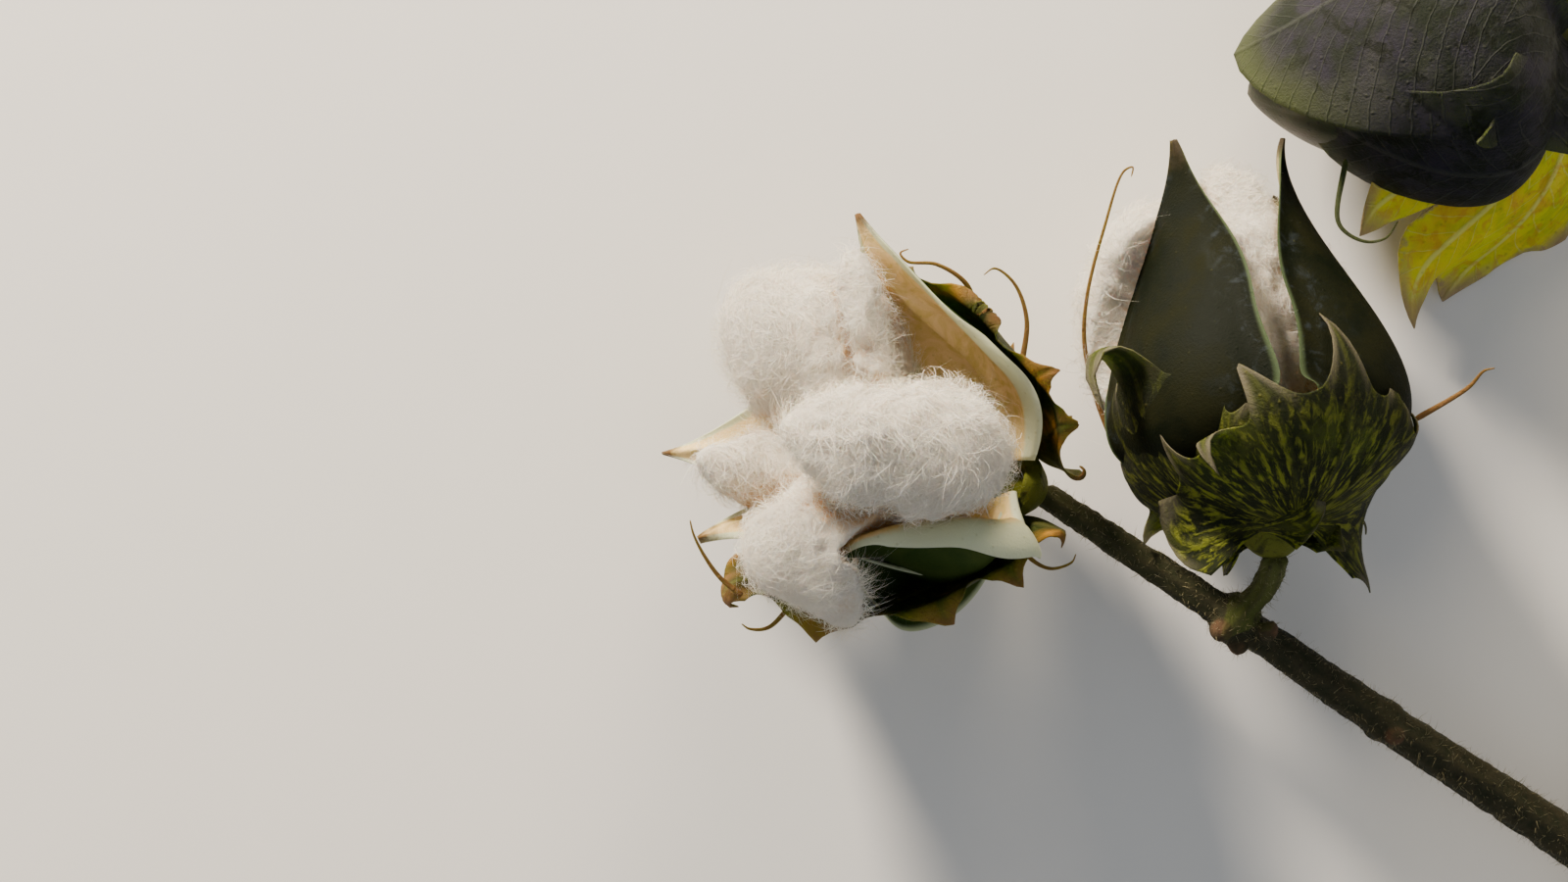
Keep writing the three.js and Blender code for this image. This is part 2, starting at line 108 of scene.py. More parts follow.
def readLine(at, knots, values):
    return np.stack([np.interp(at, knots, values[:, k]) for k in range(values.shape[1])], axis=1)


def crossing(across, half, bend, lipWidth, lipBend):    # bends inwards, then the lip turns back
    distance = np.abs(across)
    straight = np.maximum(0, half - lipWidth)
    turn = np.minimum(distance, straight) / bend
    back = turn - np.maximum(0, distance - straight) / lipBend
    sideways = bend * np.sin(turn) + lipBend * (np.sin(turn) - np.sin(back))
    inward = bend * (1 - np.cos(turn)) + lipBend * (np.cos(back) - np.cos(turn))
    side = np.sign(across)
    return side * sideways, inward, side * back


def sheetPoints(azimuth, spot, slope, crossed, depth, twist=0.0):
    outward = np.array([math.cos(azimuth), math.sin(azimuth), 0])
    aside = np.array([-math.sin(azimuth), math.cos(azimuth), 0])
    within = -slope[:, 1:2] * outward
    within[:, 2] += slope[:, 0]
    sideways = aside * math.cos(twist) + within * math.sin(twist)
    inward = within * math.cos(twist) - aside * math.sin(twist)
    turn = crossed[2][:, None]
    normal = inward * np.cos(turn) - sideways * np.sin(turn)
    points = outward * spot[:, 0:1]
    points[:, 2] += spot[:, 1]
    points += sideways * crossed[0][:, None] + inward * crossed[1][:, None]
    return points + normal * depth[:, None]


def noiseField(points, scale, seed=0.0):    # soft noise from -1 to 1 at each point
    offset = Vector((seed * 7.31, seed * 3.17, seed * 5.77))
    return np.array([noise.noise(Vector(point) * scale + offset) for point in points])


# meshes: a grid or a ball from bmesh, shaped by a function and given its attributes

def finishMesh(name, bm, material, smoothFaces=True):
    for face in bm.faces:
        face.smooth = smoothFaces
    mesh = bpy.data.meshes.new(name)
    bm.to_mesh(mesh)
    bm.free()
    piece = bpy.data.objects.new(name, mesh)
    bpy.context.scene.collection.objects.link(piece)
    mesh.materials.append(material)
    return piece


def moveVerts(bm, points):
    for vert, point in zip(bm.verts, points):
        vert.co = point


def vertLayers(bm, **values):
    for name, numbers in values.items():
        layer = bm.verts.layers.float.get(name) or bm.verts.layers.float.new(name)
        for vert, number in zip(bm.verts, numbers):
            vert[layer] = float(number)


def sheetMesh(columns, rows, shape, place):    # two walls and a closed rim
    bm = bmesh.new()
    bmesh.ops.create_grid(bm, x_segments=columns, y_segments=rows, size=0.5)
    copied = bmesh.ops.extrude_face_region(bm, geom=bm.faces[:], use_keep_orig=True)
    second = {element for element in copied["geom"] if isinstance(element, bmesh.types.BMVert)}
    across = np.array([vert.co.x * 2 for vert in bm.verts])
    along = np.array([vert.co.y + 0.5 for vert in bm.verts])
    inside = np.array([1.0 if vert in second else 0.0 for vert in bm.verts])
    points, values = shape(across, along, inside)
    moveVerts(bm, onFloor(toPart(points, place)))
    vertLayers(bm, across=np.abs(across), along=along, inside=inside, **values)
    bmesh.ops.recalc_face_normals(bm, faces=bm.faces[:])
    return bm


def ballMesh(segments, rings, shape):    # a ball whose poles are the two ends of a swept shape
    bm = bmesh.new()
    bmesh.ops.create_uvsphere(bm, u_segments=segments, v_segments=rings, radius=1)
    spots = np.array([vert.co[:] for vert in bm.verts])
    along = np.arccos(np.clip(-spots[:, 2], -1, 1)) / math.pi
    angle = np.arctan2(spots[:, 1], spots[:, 0])
    moveVerts(bm, shape(angle, along))
    bmesh.ops.recalc_face_normals(bm, faces=bm.faces[:])
    return bm


def sweepFrames(line):    # directions across a line that turn as little as they can
    slope = np.gradient(line, axis=0)
    slope /= np.linalg.norm(slope, axis=1)[:, None]
    over = np.zeros_like(line)
    start = np.array([0.0, 0.0, 1.0]) if abs(slope[0][2]) < 0.9 else np.array([1.0, 0.0, 0.0])
    for k, direction in enumerate(slope):
        start = unit(start - direction * (start @ direction))
        over[k] = start
    return over, np.cross(slope, over)


# materials

def addNode(tree, kind, inputs=None, **settings):
    node = tree.nodes.new(kind)
    for name, value in settings.items():
        setattr(node, name, value)
    for name, value in (inputs or {}).items():
        socket = node.inputs[name]
        if isinstance(value, bpy.types.NodeSocket):
            tree.links.new(value, socket)
        else:
            socket.default_value = value
    return node


def mathNode(tree, operation, first, second=0.0, third=0.0):
    return addNode(tree, "ShaderNodeMath", {0: first, 1: second, 2: third}, operation=operation).outputs[0]


def mixColour(tree, share, first, second, blend="MIX"):
    node = addNode(tree, "ShaderNodeMix", data_type="RGBA", blend_type=blend)
    for index, value in ((0, share), (6, first), (7, second)):
        if isinstance(value, bpy.types.NodeSocket):
            tree.links.new(value, node.inputs[index])
        else:
            node.inputs[index].default_value = value
    return node.outputs[2]


def rangeNode(tree, value, low, high, toLow=0.0, toHigh=1.0):
    inputs = {"Value": value, "From Min": low, "From Max": high, "To Min": toLow, "To Max": toHigh}
    return addNode(tree, "ShaderNodeMapRange", inputs, interpolation_type="SMOOTHSTEP").outputs[0]


def noiseNode(tree, place, scale, detail=4.0, roughness=0.6, distortion=0.0):
    inputs = {"Vector": place, "Scale": scale, "Detail": detail, "Roughness": roughness,
              "Distortion": distortion}
    return addNode(tree, "ShaderNodeTexNoise", inputs).outputs["Fac"]


def attributeNode(tree, name):
    return addNode(tree, "ShaderNodeAttribute", attribute_name=name).outputs["Fac"]


def newMaterial(name, constants):
    material = bpy.data.materials.new(name)
    material.use_nodes = True
    tree = material.node_tree
    principled = tree.nodes["Principled BSDF"]
    for socket, value in constants.items():
        principled.inputs[socket].default_value = value
    place = addNode(tree, "ShaderNodeTexCoord").outputs["Object"]
    return material, tree, principled, place


def effectGroup(name, inputs, outputs, build):
    tree = bpy.data.node_groups.new(name, "ShaderNodeTree")
    for socket, value in inputs.items():
        kind = "NodeSocketColor" if isinstance(value, tuple) else "NodeSocketFloat"
        kind = "NodeSocketVector" if value is None else kind
        made = tree.interface.new_socket(socket, in_out="INPUT", socket_type=kind)
        if value is not None:
            made.default_value = value
    for socket, kind in outputs.items():
        tree.interface.new_socket(socket, in_out="OUTPUT", socket_type=kind)
    given = tree.nodes.new("NodeGroupInput")
    result = tree.nodes.new("NodeGroupOutput")
    for socket, value in build(tree, given.outputs).items():
        tree.links.new(value, result.inputs[socket])
    return tree


def placeGroup(tree, group, inputs):
    node = addNode(tree, "ShaderNodeGroup", node_tree=group)
    for name, value in inputs.items():
        if isinstance(value, bpy.types.NodeSocket):
            tree.links.new(value, node.inputs[name])
        else:
            node.inputs[name].default_value = value
    return node.outputs


# Cotton tissue is dotted all over with small dark oil glands, on a skin of fine uneven cells
def buildGlands(tree, given):
    dots = addNode(tree, "ShaderNodeTexVoronoi", {"Vector": given["Place"], "Scale": given["Dots"]})
    dot = rangeNode(tree, dots.outputs["Distance"], given["Dot Size"], 0.02, 0.0, 1.0)
    patches = noiseNode(tree, given["Place"], given["Patches"], 5.0, 0.62, 0.4)
    cells = noiseNode(tree, given["Place"], 2600.0, 3.0, 0.7)
    height = mathNode(tree, "MULTIPLY_ADD", dot, 0.6, cells)
    return {"Dot": dot, "Patch": rangeNode(tree, patches, 0.36, 0.66), "Height": height}


glandSkin = effectGroup(
    "Gland skin",
    {"Place": None, "Dots": 700.0, "Dot Size": 0.3, "Patches": 90.0},
    {"Dot": "NodeSocketFloat", "Patch": "NodeSocketFloat", "Height": "NodeSocketFloat"},
    buildGlands,
)


def bumpNode(tree, height, strength, distance):
    inputs = {"Height": height, "Strength": strength, "Distance": distance}
    return addNode(tree, "ShaderNodeBump", inputs).outputs["Normal"]


lintLook = {
    "fibre": (0.85, 0.79, 0.69, 1),
    # painted shade: the warm, darker tint laid into the crevices between the locks and the walls
    "shade": (0.80, 0.50, 0.22, 1),
    "stain": (0.80, 0.70, 0.52, 1),
    "halo": (0.95, 0.90, 0.81, 1),
}


def makeLintMaterial():
    constants = {"Roughness": 0.95, "Subsurface Weight": 0.4, "Subsurface Scale": 0.003,
                 "Subsurface Radius": (1.0, 0.8, 0.6), "Specular IOR Level": 0.15,
                 "Sheen Weight": 0.35, "Sheen Roughness": 0.6}
    material, tree, principled, place = newMaterial("Cotton lint", constants)
    # painted shade: the lint turns toward the warm shade colour where a point is shut in by walls and other locks
    crevice = attributeNode(tree, "crevice")
    tone = mixColour(tree, rangeNode(tree, crevice, 0.03, 0.5), lintLook["fibre"], lintLook["shade"])
    specks = rangeNode(tree, noiseNode(tree, place, 160.0, 6.0, 0.7, 0.8), 0.62, 0.8, 0.0, 0.35)
    tree.links.new(mixColour(tree, specks, tone, lintLook["stain"]), principled.inputs["Base Color"])
    strands = noiseNode(tree, place, 900.0, 6.0, 0.72, 1.8)
    clumps = noiseNode(tree, place, 230.0, 6.0, 0.66, 1.0)
    height = mathNode(tree, "MULTIPLY_ADD", clumps, 2.4, strands)
    tree.links.new(bumpNode(tree, height, 0.8, 0.0011), principled.inputs["Normal"])
    return material


def makeFibreMaterial(name, colour, constants):
    material, tree, principled, place = newMaterial(name, constants)
    patches = noiseNode(tree, place, 120.0, 3.0)
    darker = tuple(channel * 0.9 for channel in colour[:3]) + (1,)
    shade = mixColour(tree, rangeNode(tree, patches, 0.4, 0.7), colour, darker)
    tree.links.new(shade, principled.inputs["Base Color"])
    return material


valveLooks = {
    "front": {
        "outer": (0.024, 0.050, 0.010, 1), "outerPatch": (0.048, 0.072, 0.014, 1),
        "sheen": (0.08, 0.12, 0.06, 1), "dots": (0.25, 0.25, 0.05, 1), "inner": (0.80, 0.60, 0.30, 1),
        "innerPatch": (0.62, 0.47, 0.16, 1), "lip": (0.60, 0.64, 0.44, 1), "lipFrom": 0.66,
        "margin": (0.55, 0.60, 0.40, 1), "tip": (0.13, 0.07, 0.03, 1),
    },
    # painted shade: the back boll's valves are their own dark green-brown, darkened further as painted shade for walls
    # that lie in shadow
    "back": {
        "outer": (0.003, 0.005, 0.002, 1), "outerPatch": (0.009, 0.010, 0.003, 1),
        "sheen": (0.026, 0.034, 0.040, 1), "dots": (0.07, 0.07, 0.02, 1), "inner": (0.40, 0.33, 0.18, 1),
        "innerPatch": (0.30, 0.25, 0.12, 1), "lip": (0.10, 0.12, 0.05, 1), "lipFrom": 0.8,
        "margin": (0.07, 0.10, 0.05, 1), "tip": (0.045, 0.035, 0.022, 1),
    },
}


def makeValveMaterial(name, look):
    constants = {"Roughness": 0.5, "Subsurface Weight": 0.1, "Subsurface Scale": 0.002,
                 "Subsurface Radius": (0.9, 1.0, 0.3), "Specular IOR Level": 0.06}
    material, tree, principled, place = newMaterial(name, constants)
    inside = rangeNode(tree, attributeNode(tree, "inside"), 0.3, 0.7)
    across = attributeNode(tree, "across")
    along = attributeNode(tree, "along")
    skin = placeGroup(tree, glandSkin, {"Place": place, "Dots": 620.0, "Dot Size": 0.2, "Patches": 110.0})
    outer = mixColour(tree, skin["Patch"], look["outer"], look["outerPatch"])
    mottle = rangeNode(tree, noiseNode(tree, place, 330.0, 5.0, 0.7, 0.6), 0.5, 0.7, 0.0, 0.7)
    sheen = mathNode(tree, "MULTIPLY", mottle, rangeNode(tree, across, 0.35, 0.9))
    outer = mixColour(tree, sheen, outer, look["sheen"])
    dots = mathNode(tree, "MULTIPLY", skin["Dot"], mathNode(tree, "MULTIPLY", mottle, 0.7))
    outer = mixColour(tree, dots, outer, look["dots"])
    silk = noiseNode(tree, place, 240.0, 5.0, 0.65, 1.5)
    inner = mixColour(tree, rangeNode(tree, silk, 0.35, 0.7), look["inner"], look["innerPatch"])
    ragged = mathNode(tree, "MULTIPLY_ADD", silk, 0.2, across)
    edge = rangeNode(tree, ragged, look["lipFrom"] + 0.08, look["lipFrom"] + 0.22)
    inner = mixColour(tree, edge, inner, look["lip"])
    inner = mixColour(tree, mathNode(tree, "MULTIPLY", skin["Dot"], 0.3), inner, look["dots"])
    outer = mixColour(tree, rangeNode(tree, across, 0.94, 1.0), outer, look["margin"])
    colour = mixColour(tree, inside, outer, inner)
    dry = mathNode(tree, "MULTIPLY_ADD", silk, 0.12, along)
    dry = rangeNode(tree, dry, 0.98, 1.06)
    tree.links.new(mixColour(tree, dry, colour, look["tip"]), principled.inputs["Base Color"])
    roughness = mathNode(tree, "MULTIPLY_ADD", skin["Patch"], 0.18, 0.55)
    tree.links.new(roughness, principled.inputs["Roughness"])
    tree.links.new(bumpNode(tree, skin["Height"], 0.35, 0.0004), principled.inputs["Normal"])
    return material


bractLooks = {
    "front": {
        "leaf": (0.022, 0.034, 0.008, 1), "patch": (0.050, 0.050, 0.012, 1), "vein": (0.11, 0.11, 0.03, 1),
        "branches": 0.25, "mainVein": 0.6, "streak": 0.4, "streakReach": 24.0, "streakCount": 16.0,
        "streakColour": (0.09, 0.10, 0.02, 1), "blotches": 0.4, "blotch": (0.020, 0.028, 0.008, 1),
        "dots": (0.30, 0.24, 0.05, 1), "dry": (0.17, 0.085, 0.030, 1), "dryFrom": 1.16,
        "glow": (0.50, 0.22, 0.02, 1), "glowShare": 0.8,
    },
    "back": {
        "leaf": (0.012, 0.016, 0.005, 1), "patch": (0.007, 0.009, 0.004, 1), "vein": (0.08, 0.09, 0.015, 1),
        "branches": 0.08, "mainVein": 0.3, "streak": 0.95, "streakReach": 30.0, "streakCount": 17.0,
        "streakColour": (0.20, 0.22, 0.022, 1), "blotches": 0.75, "blotch": (0.012, 0.013, 0.005, 1),
        "dots": (0.12, 0.11, 0.02, 1), "dry": (0.10, 0.09, 0.06, 1), "dryFrom": 1.29,
        "glow": (0.12, 0.14, 0.02, 1), "glowShare": 0.3,
    },
    # painted shade: the green boll's bracts are their own dark green with a purple tint, darkened to nearly black as
    # painted shade
    "green": {
        "leaf": (0.010, 0.014, 0.008, 1), "patch": (0.022, 0.020, 0.030, 1), "vein": (0.040, 0.044, 0.038, 1),
        "branches": 0.55, "mainVein": 0.6, "streak": 0.3, "streakReach": 50.0, "streakCount": 12.0,
        "streakColour": (0.04, 0.04, 0.05, 1), "blotches": 0.85, "blotch": (0.007, 0.009, 0.005, 1),
        "dots": (0.03, 0.035, 0.02, 1), "dry": (0.050, 0.060, 0.026, 1), "dryFrom": 1.31,
        "glow": (0.055, 0.060, 0.045, 1), "glowShare": 0.4,
    },
    # painted glow: the hanging bract's own yellow is painted much brighter, standing for light shining through it from
    # behind
    "hangingGlow": {
        "leaf": (0.70, 0.72, 0.030, 1), "patch": (0.85, 0.70, 0.04, 1), "vein": (0.80, 0.80, 0.20, 1),
        "branches": 0.4, "mainVein": 0.8, "streak": 0.5, "streakReach": 50.0, "streakCount": 10.0,
        "streakColour": (0.38, 0.46, 0.02, 1), "blotches": 0.5, "blotch": (0.60, 0.26, 0.02, 1),
        "dots": (0.10, 0.13, 0.02, 1), "dry": (0.36, 0.25, 0.14, 1), "dryFrom": 1.1,
        "glow": (0.70, 0.30, 0.03, 1), "glowShare": 0.5,
    },
}


def makeBractMaterial(name, look):
    constants = {"Roughness": 0.62, "Subsurface Weight": 0.15, "Subsurface Scale": 0.002,
                 "Subsurface Radius": (0.8, 1.0, 0.2), "Specular IOR Level": 0.1}
    material, tree, principled, place = newMaterial(name, constants)
    ray = attributeNode(tree, "ray")
    aside = attributeNode(tree, "aside")
    skin = placeGroup(tree, glandSkin, {"Place": place, "Dots": 560.0, "Dot Size": 0.22, "Patches": 130.0})
    main = rangeNode(tree, aside, 0.7, 0.12)
    wander = noiseNode(tree, place, 220.0, 3.0)
    climb = mathNode(tree, "MULTIPLY_ADD", aside, -1.15, ray)
    climb = mathNode(tree, "MULTIPLY_ADD", wander, 1.6, climb)
    branch = rangeNode(tree, mathNode(tree, "PINGPONG", climb, 1.7), 0.24, 0.05, 0.0, look["branches"])
    fan = mathNode(tree, "MULTIPLY", attributeNode(tree, "fan"), look["streakCount"])
    rays = addNode(tree, "ShaderNodeCombineXYZ", {"X": fan, "Y": mathNode(tree, "MULTIPLY", ray, 0.3), "Z": 0.0})
    streaks = rangeNode(tree, noiseNode(tree, rays.outputs[0], 1.0, 5.0, 0.62, 0.5), 0.47, 0.62)
    near = rangeNode(tree, ray, look["streakReach"], look["streakReach"] * 0.35)
    streaks = mathNode(tree, "MULTIPLY", streaks, mathNode(tree, "MULTIPLY", near, look["streak"]))
    veins = mathNode(tree, "MAXIMUM", mathNode(tree, "MULTIPLY", main, look["mainVein"]), branch)
    blotch = rangeNode(tree, noiseNode(tree, place, 300.0, 5.0, 0.65, 0.8), 0.52, 0.64, 0.0, look["blotches"])
    colour = mixColour(tree, skin["Patch"], look["leaf"], look["patch"])
    glow = rangeNode(tree, noiseNode(tree, place, 75.0, 3.0), 0.5, 0.68, 0.0, look["glowShare"])
    colour = mixColour(tree, glow, colour, look["glow"])
    colour = mixColour(tree, streaks, colour, look["streakColour"])
    colour = mixColour(tree, veins, colour, look["vein"])
    colour = mixColour(tree, blotch, colour, look["blotch"])
    colour = mixColour(tree, mathNode(tree, "MULTIPLY", skin["Dot"], 0.35), colour, look["dots"])
    ragged = mathNode(tree, "MULTIPLY_ADD", noiseNode(tree, place, 320.0, 5.0, 0.7), 0.34,
                      attributeNode(tree, "along"))
    dry = rangeNode(tree, ragged, look["dryFrom"], look["dryFrom"] + 0.12)
    dry = mathNode(tree, "MAXIMUM", dry, attributeNode(tree, "tip"))
    tree.links.new(mixColour(tree, dry, colour, look["dry"]), principled.inputs["Base Color"])
    height = mathNode(tree, "MULTIPLY_ADD", mathNode(tree, "ADD", veins, streaks), 1.3, skin["Height"])
    tree.links.new(bumpNode(tree, height, 0.6, 0.0005), principled.inputs["Normal"])
    return material


capsuleLook = {
    "deep": (0.010, 0.016, 0.007, 1), "pale": (0.028, 0.038, 0.015, 1),
    "dots": (0.008, 0.010, 0.007, 1), "blush": (0.075, 0.045, 0.055, 1),
}


def makeCapsuleMaterial():
    constants = {"Specular IOR Level": 0.4, "Subsurface Weight": 0.15, "Subsurface Scale": 0.003}
    material, tree, principled, place = newMaterial("Green boll skin", constants)
    skin = placeGroup(tree, glandSkin, {"Place": place, "Dots": 780.0, "Dot Size": 0.3, "Patches": 70.0})
    blush = rangeNode(tree, noiseNode(tree, place, 60.0, 4.0), 0.45, 0.7)
    colour = mixColour(tree, skin["Patch"], capsuleLook["deep"], capsuleLook["pale"])
    colour = mixColour(tree, mathNode(tree, "MULTIPLY", blush, 0.6), colour, capsuleLook["blush"])
    colour = mixColour(tree, skin["Dot"], colour, capsuleLook["dots"])
    tree.links.new(colour, principled.inputs["Base Color"])
    roughness = mathNode(tree, "MULTIPLY_ADD", skin["Patch"], 0.2, 0.32)
    tree.links.new(roughness, principled.inputs["Roughness"])
    tree.links.new(bumpNode(tree, skin["Height"], 0.3, 0.0003), principled.inputs["Normal"])
    return material


barkLook = {
    "rind": (0.024, 0.027, 0.013, 1), "rib": (0.048, 0.042, 0.022, 1),
    "scar": (0.12, 0.065, 0.035, 1), "speck": (0.022, 0.018, 0.012, 1),
    "pith": (0.52, 0.47, 0.33, 1), "young": (0.085, 0.100, 0.022, 1),
}


def makeBarkMaterial():
    constants = {"Roughness": 0.72, "Specular IOR Level": 0.14}
    material, tree, principled, place = newMaterial("Branch rind", constants)
    rib = attributeNode(tree, "rib")
    scar = attributeNode(tree, "scar")
    young = attributeNode(tree, "young")
    cut = attributeNode(tree, "cut")
    skin = placeGroup(tree, glandSkin, {"Place": place, "Dots": 480.0, "Dot Size": 0.22, "Patches": 150.0})
    streaks = noiseNode(tree, place, 420.0, 6.0, 0.7, 0.6)
    colour = mixColour(tree, rangeNode(tree, streaks, 0.35, 0.7), barkLook["rind"], barkLook["rib"])
    colour = mixColour(tree, mathNode(tree, "MULTIPLY", young, 0.85), colour, barkLook["young"])
    colour = mixColour(tree, mathNode(tree, "MULTIPLY", rib, 0.45), colour, barkLook["rib"])
    colour = mixColour(tree, mathNode(tree, "MULTIPLY", skin["Dot"], 0.7), colour, barkLook["speck"])
    colour = mixColour(tree, scar, colour, barkLook["scar"])
    colour = mixColour(tree, cut, colour, barkLook["pith"])
    tree.links.new(colour, principled.inputs["Base Color"])
    height = mathNode(tree, "MULTIPLY_ADD", streaks, 1.5, skin["Height"])
    tree.links.new(bumpNode(tree, height, 0.6, 0.0005), principled.inputs["Normal"])
    return material


lintMaterial = makeLintMaterial()
fibreConstants = {"Roughness": 0.9, "Specular IOR Level": 0.1, "Sheen Weight": 0.4,
                  "Subsurface Weight": 0.5, "Subsurface Scale": 0.003, "Subsurface Radius": (1.0, 0.85, 0.65)}
fibreMaterial = makeFibreMaterial("Lint fibres", lintLook["halo"], fibreConstants)
hairConstants = {"Roughness": 0.6, "Specular IOR Level": 0.4}
hairMaterial = makeFibreMaterial("Stem hairs", (0.30, 0.26, 0.14, 1), hairConstants)
valveMaterials = {name: makeValveMaterial("Valve of the %s boll" % name, look)
                  for name, look in valveLooks.items()}
bractMaterials = {name: makeBractMaterial("Bract, %s" % name, look) for name, look in bractLooks.items()}
capsuleMaterial = makeCapsuleMaterial()
barkMaterial = makeBarkMaterial()
print("materials made")


# the bolls, with the same values as the frame's source

bollNames = ("front", "back", "green")
bolls = {
    "front": {
        "base": (35, -6.6, 16.3), "axis": (-0.828, 0.253, 0.5), "facing": (0.517, 0, 0.856), "calyx": 5.2,
        "creviceShare": 1,
        "valves": [
            {"azimuth": 90, "height": 38, "reach": 31.3, "halfWidth": 17.4, "root": 23, "beak": 20, "tilt": 50,
             "bend": 16, "lip": 0.32, "lipBend": 5.4, "lipFade": 0.9},
            {"azimuth": 294, "height": 34, "reach": 21, "halfWidth": 20.5, "root": 29, "beak": 18, "tilt": 50,
             "bend": 15, "lip": 0.54, "lipBend": 3.9, "lipFade": 0, "neck": 0.8},
            {"azimuth": 185, "height": 42, "reach": 34, "halfWidth": 15, "root": 28, "beak": 22, "tilt": 72,
             "taper": 0.65, "hook": 3.2},
            {"azimuth": 239, "height": 45, "reach": 23.5, "halfWidth": 13, "root": 28, "beak": 20, "tilt": 50},
        ],
        "locks": [
            {"path": ((14, 0, 16.5), (20, -3, 28), (6, -3.2, 46)), "radius": 11.8, "taper": 0.5},
            {"path": ((-6, 8, 20), (-13.5, 13.5, 34), (-12, 12, 46.5)), "radius": 12, "taper": 0.08},
            {"path": ((3, -12, 13), (0, -16, 29), (2, -21, 43)), "radius": 9.8, "taper": 0},
            {"path": ((-5, -6, 16), (-13, -8, 34), (-9.3, -8.4, 49)), "radius": 8, "taper": 0.4},
            {"path": ((1.5, 25, 38), (2, 17, 35), (4, 6, 29)), "radius": 4.4, "taper": 0.5},
        ],
        "bracts": [
            {"azimuth": 95, "reach": 23, "height": 39, "root": 18, "lift": 66, "beak": 14, "tipLift": -5,
             "width": 0.85, "teeth": 9, "notch": 0.84, "curl": (1.0, 2.0), "inwards": 0, "sharp": 4.5},
            {"azimuth": 242, "reach": 27, "height": 46, "root": 21, "lift": 68, "beak": 14, "tipLift": 0,
             "width": 0.66, "teeth": 9, "notch": 0.9, "curl": (2, 4), "inwards": 0, "sharp": 4},
            {"azimuth": 160, "reach": 27, "height": 34, "root": 21, "lift": 72, "beak": 14, "tipLift": 20,
             "width": 0.85},
        ],
    },
    "back": {
        "base": (70, -13.3, 29.3), "axis": (-0.1, 0.96, -0.26), "facing": (0, 0, 1), "calyx": 5.4,
        "creviceShare": 0.35,
        "valves": [
            {"azimuth": -45, "height": 59, "reach": 11, "halfWidth": 18, "root": 40, "beak": 20, "tilt": 15,
             "taper": 0.6, "bend": 18},
            {"azimuth": 66, "height": 58.5, "reach": 10.3, "halfWidth": 20, "root": 44, "beak": 18, "tilt": 25,
             "taper": 0.6},
            {"azimuth": 140, "height": 54, "reach": 14, "halfWidth": 15, "root": 34, "beak": 16, "tilt": 40},
            {"azimuth": 212, "height": 54, "reach": 14, "halfWidth": 13, "root": 34, "beak": 16, "tilt": 40},
        ],
        "locks": [
            {"path": ((0, 0, 14), (5, 2, 32), (2.5, -1, 54)), "radius": 8.5, "taper": 0},
            {"path": ((-3, -5, 12), (-5, -14.5, 30), (-2, -8.5, 51)), "radius": 12.8, "taper": 0},
            {"path": ((-3, 5, 12), (-7, 10, 30), (-4, 7, 47)), "radius": 9.5, "taper": 0},
            {"path": ((-6, 0, 12), (-14, 0, 28), (-8, 0, 48)), "radius": 10, "taper": 0},
        ],
        "bracts": [
            {"azimuth": -55, "reach": 18, "height": 41, "root": 23, "lift": 68, "beak": 14, "tipLift": -15,
             "width": 0.78, "inwards": 0.75, "curl": (2.6, 6)},
            {"azimuth": 26, "reach": 26, "height": 31, "root": 22, "lift": 78, "beak": 12, "tipLift": 10,
             "width": 1, "lobe": 0.42, "curl": (2.2, 4.4), "inwards": 0.85},
            {"azimuth": 180, "reach": 22, "height": 30, "root": 20, "lift": 68, "beak": 12, "tipLift": 10,
             "width": 0.85},
        ],
    },
    "green": {
        "base": (112, 60, 15.2), "axis": (-0.97, -0.2, 0.02), "facing": (0, 0, 1), "calyx": 5,
        "valves": [], "locks": [],
        "bracts": [
            {"azimuth": 40, "reach": -2, "height": 50, "root": 29, "lift": 78, "beak": 26, "tipLift": -48,
             "width": 0.9, "teeth": 3, "notch": 0.93, "curl": (14, 18), "inwards": 1},
            {"azimuth": -56, "reach": 1, "height": 43, "root": 30, "lift": 78, "beak": 28, "tipLift": -52,
             "width": 0.5, "teeth": 3, "notch": 0.93, "curl": (14, 18), "inwards": 1},
            {"azimuth": -98, "reach": 26, "height": 40, "root": 16, "lift": 85, "beak": 12, "tipLift": 15,
             "width": 0.9, "teeth": 6, "notch": 0.62, "cleft": 0.3, "twist": 70, "spread": 75, "look": "hangingGlow",
             "lobe": 0.6, "sharp": 1.2,
             "curl": (8, 14), "inwards": 0},
        ],
    },
}
places = {name: bollPlace(bolls[name]) for name in bollNames}


# valves: the dried walls of an open boll

valveForm = {
    "foot": (3, 3), "flare": 80, "wall": 1.5, "rim": 0.7, "bend": 14, "lip": 0.25, "lipBend": 7,
    "widest": 0.425, "end": 0.985, "tipWidth": 0.5, "septum": 2.2, "septumWidth": 0.8,
    "columns": 44, "rows": 84, "wave": 0.035, "buckle": 0.35, "taper": 0.4, "lipFade": 0.2,
    "own": ("bend", "lip", "lipBend", "taper", "lipFade"),
}


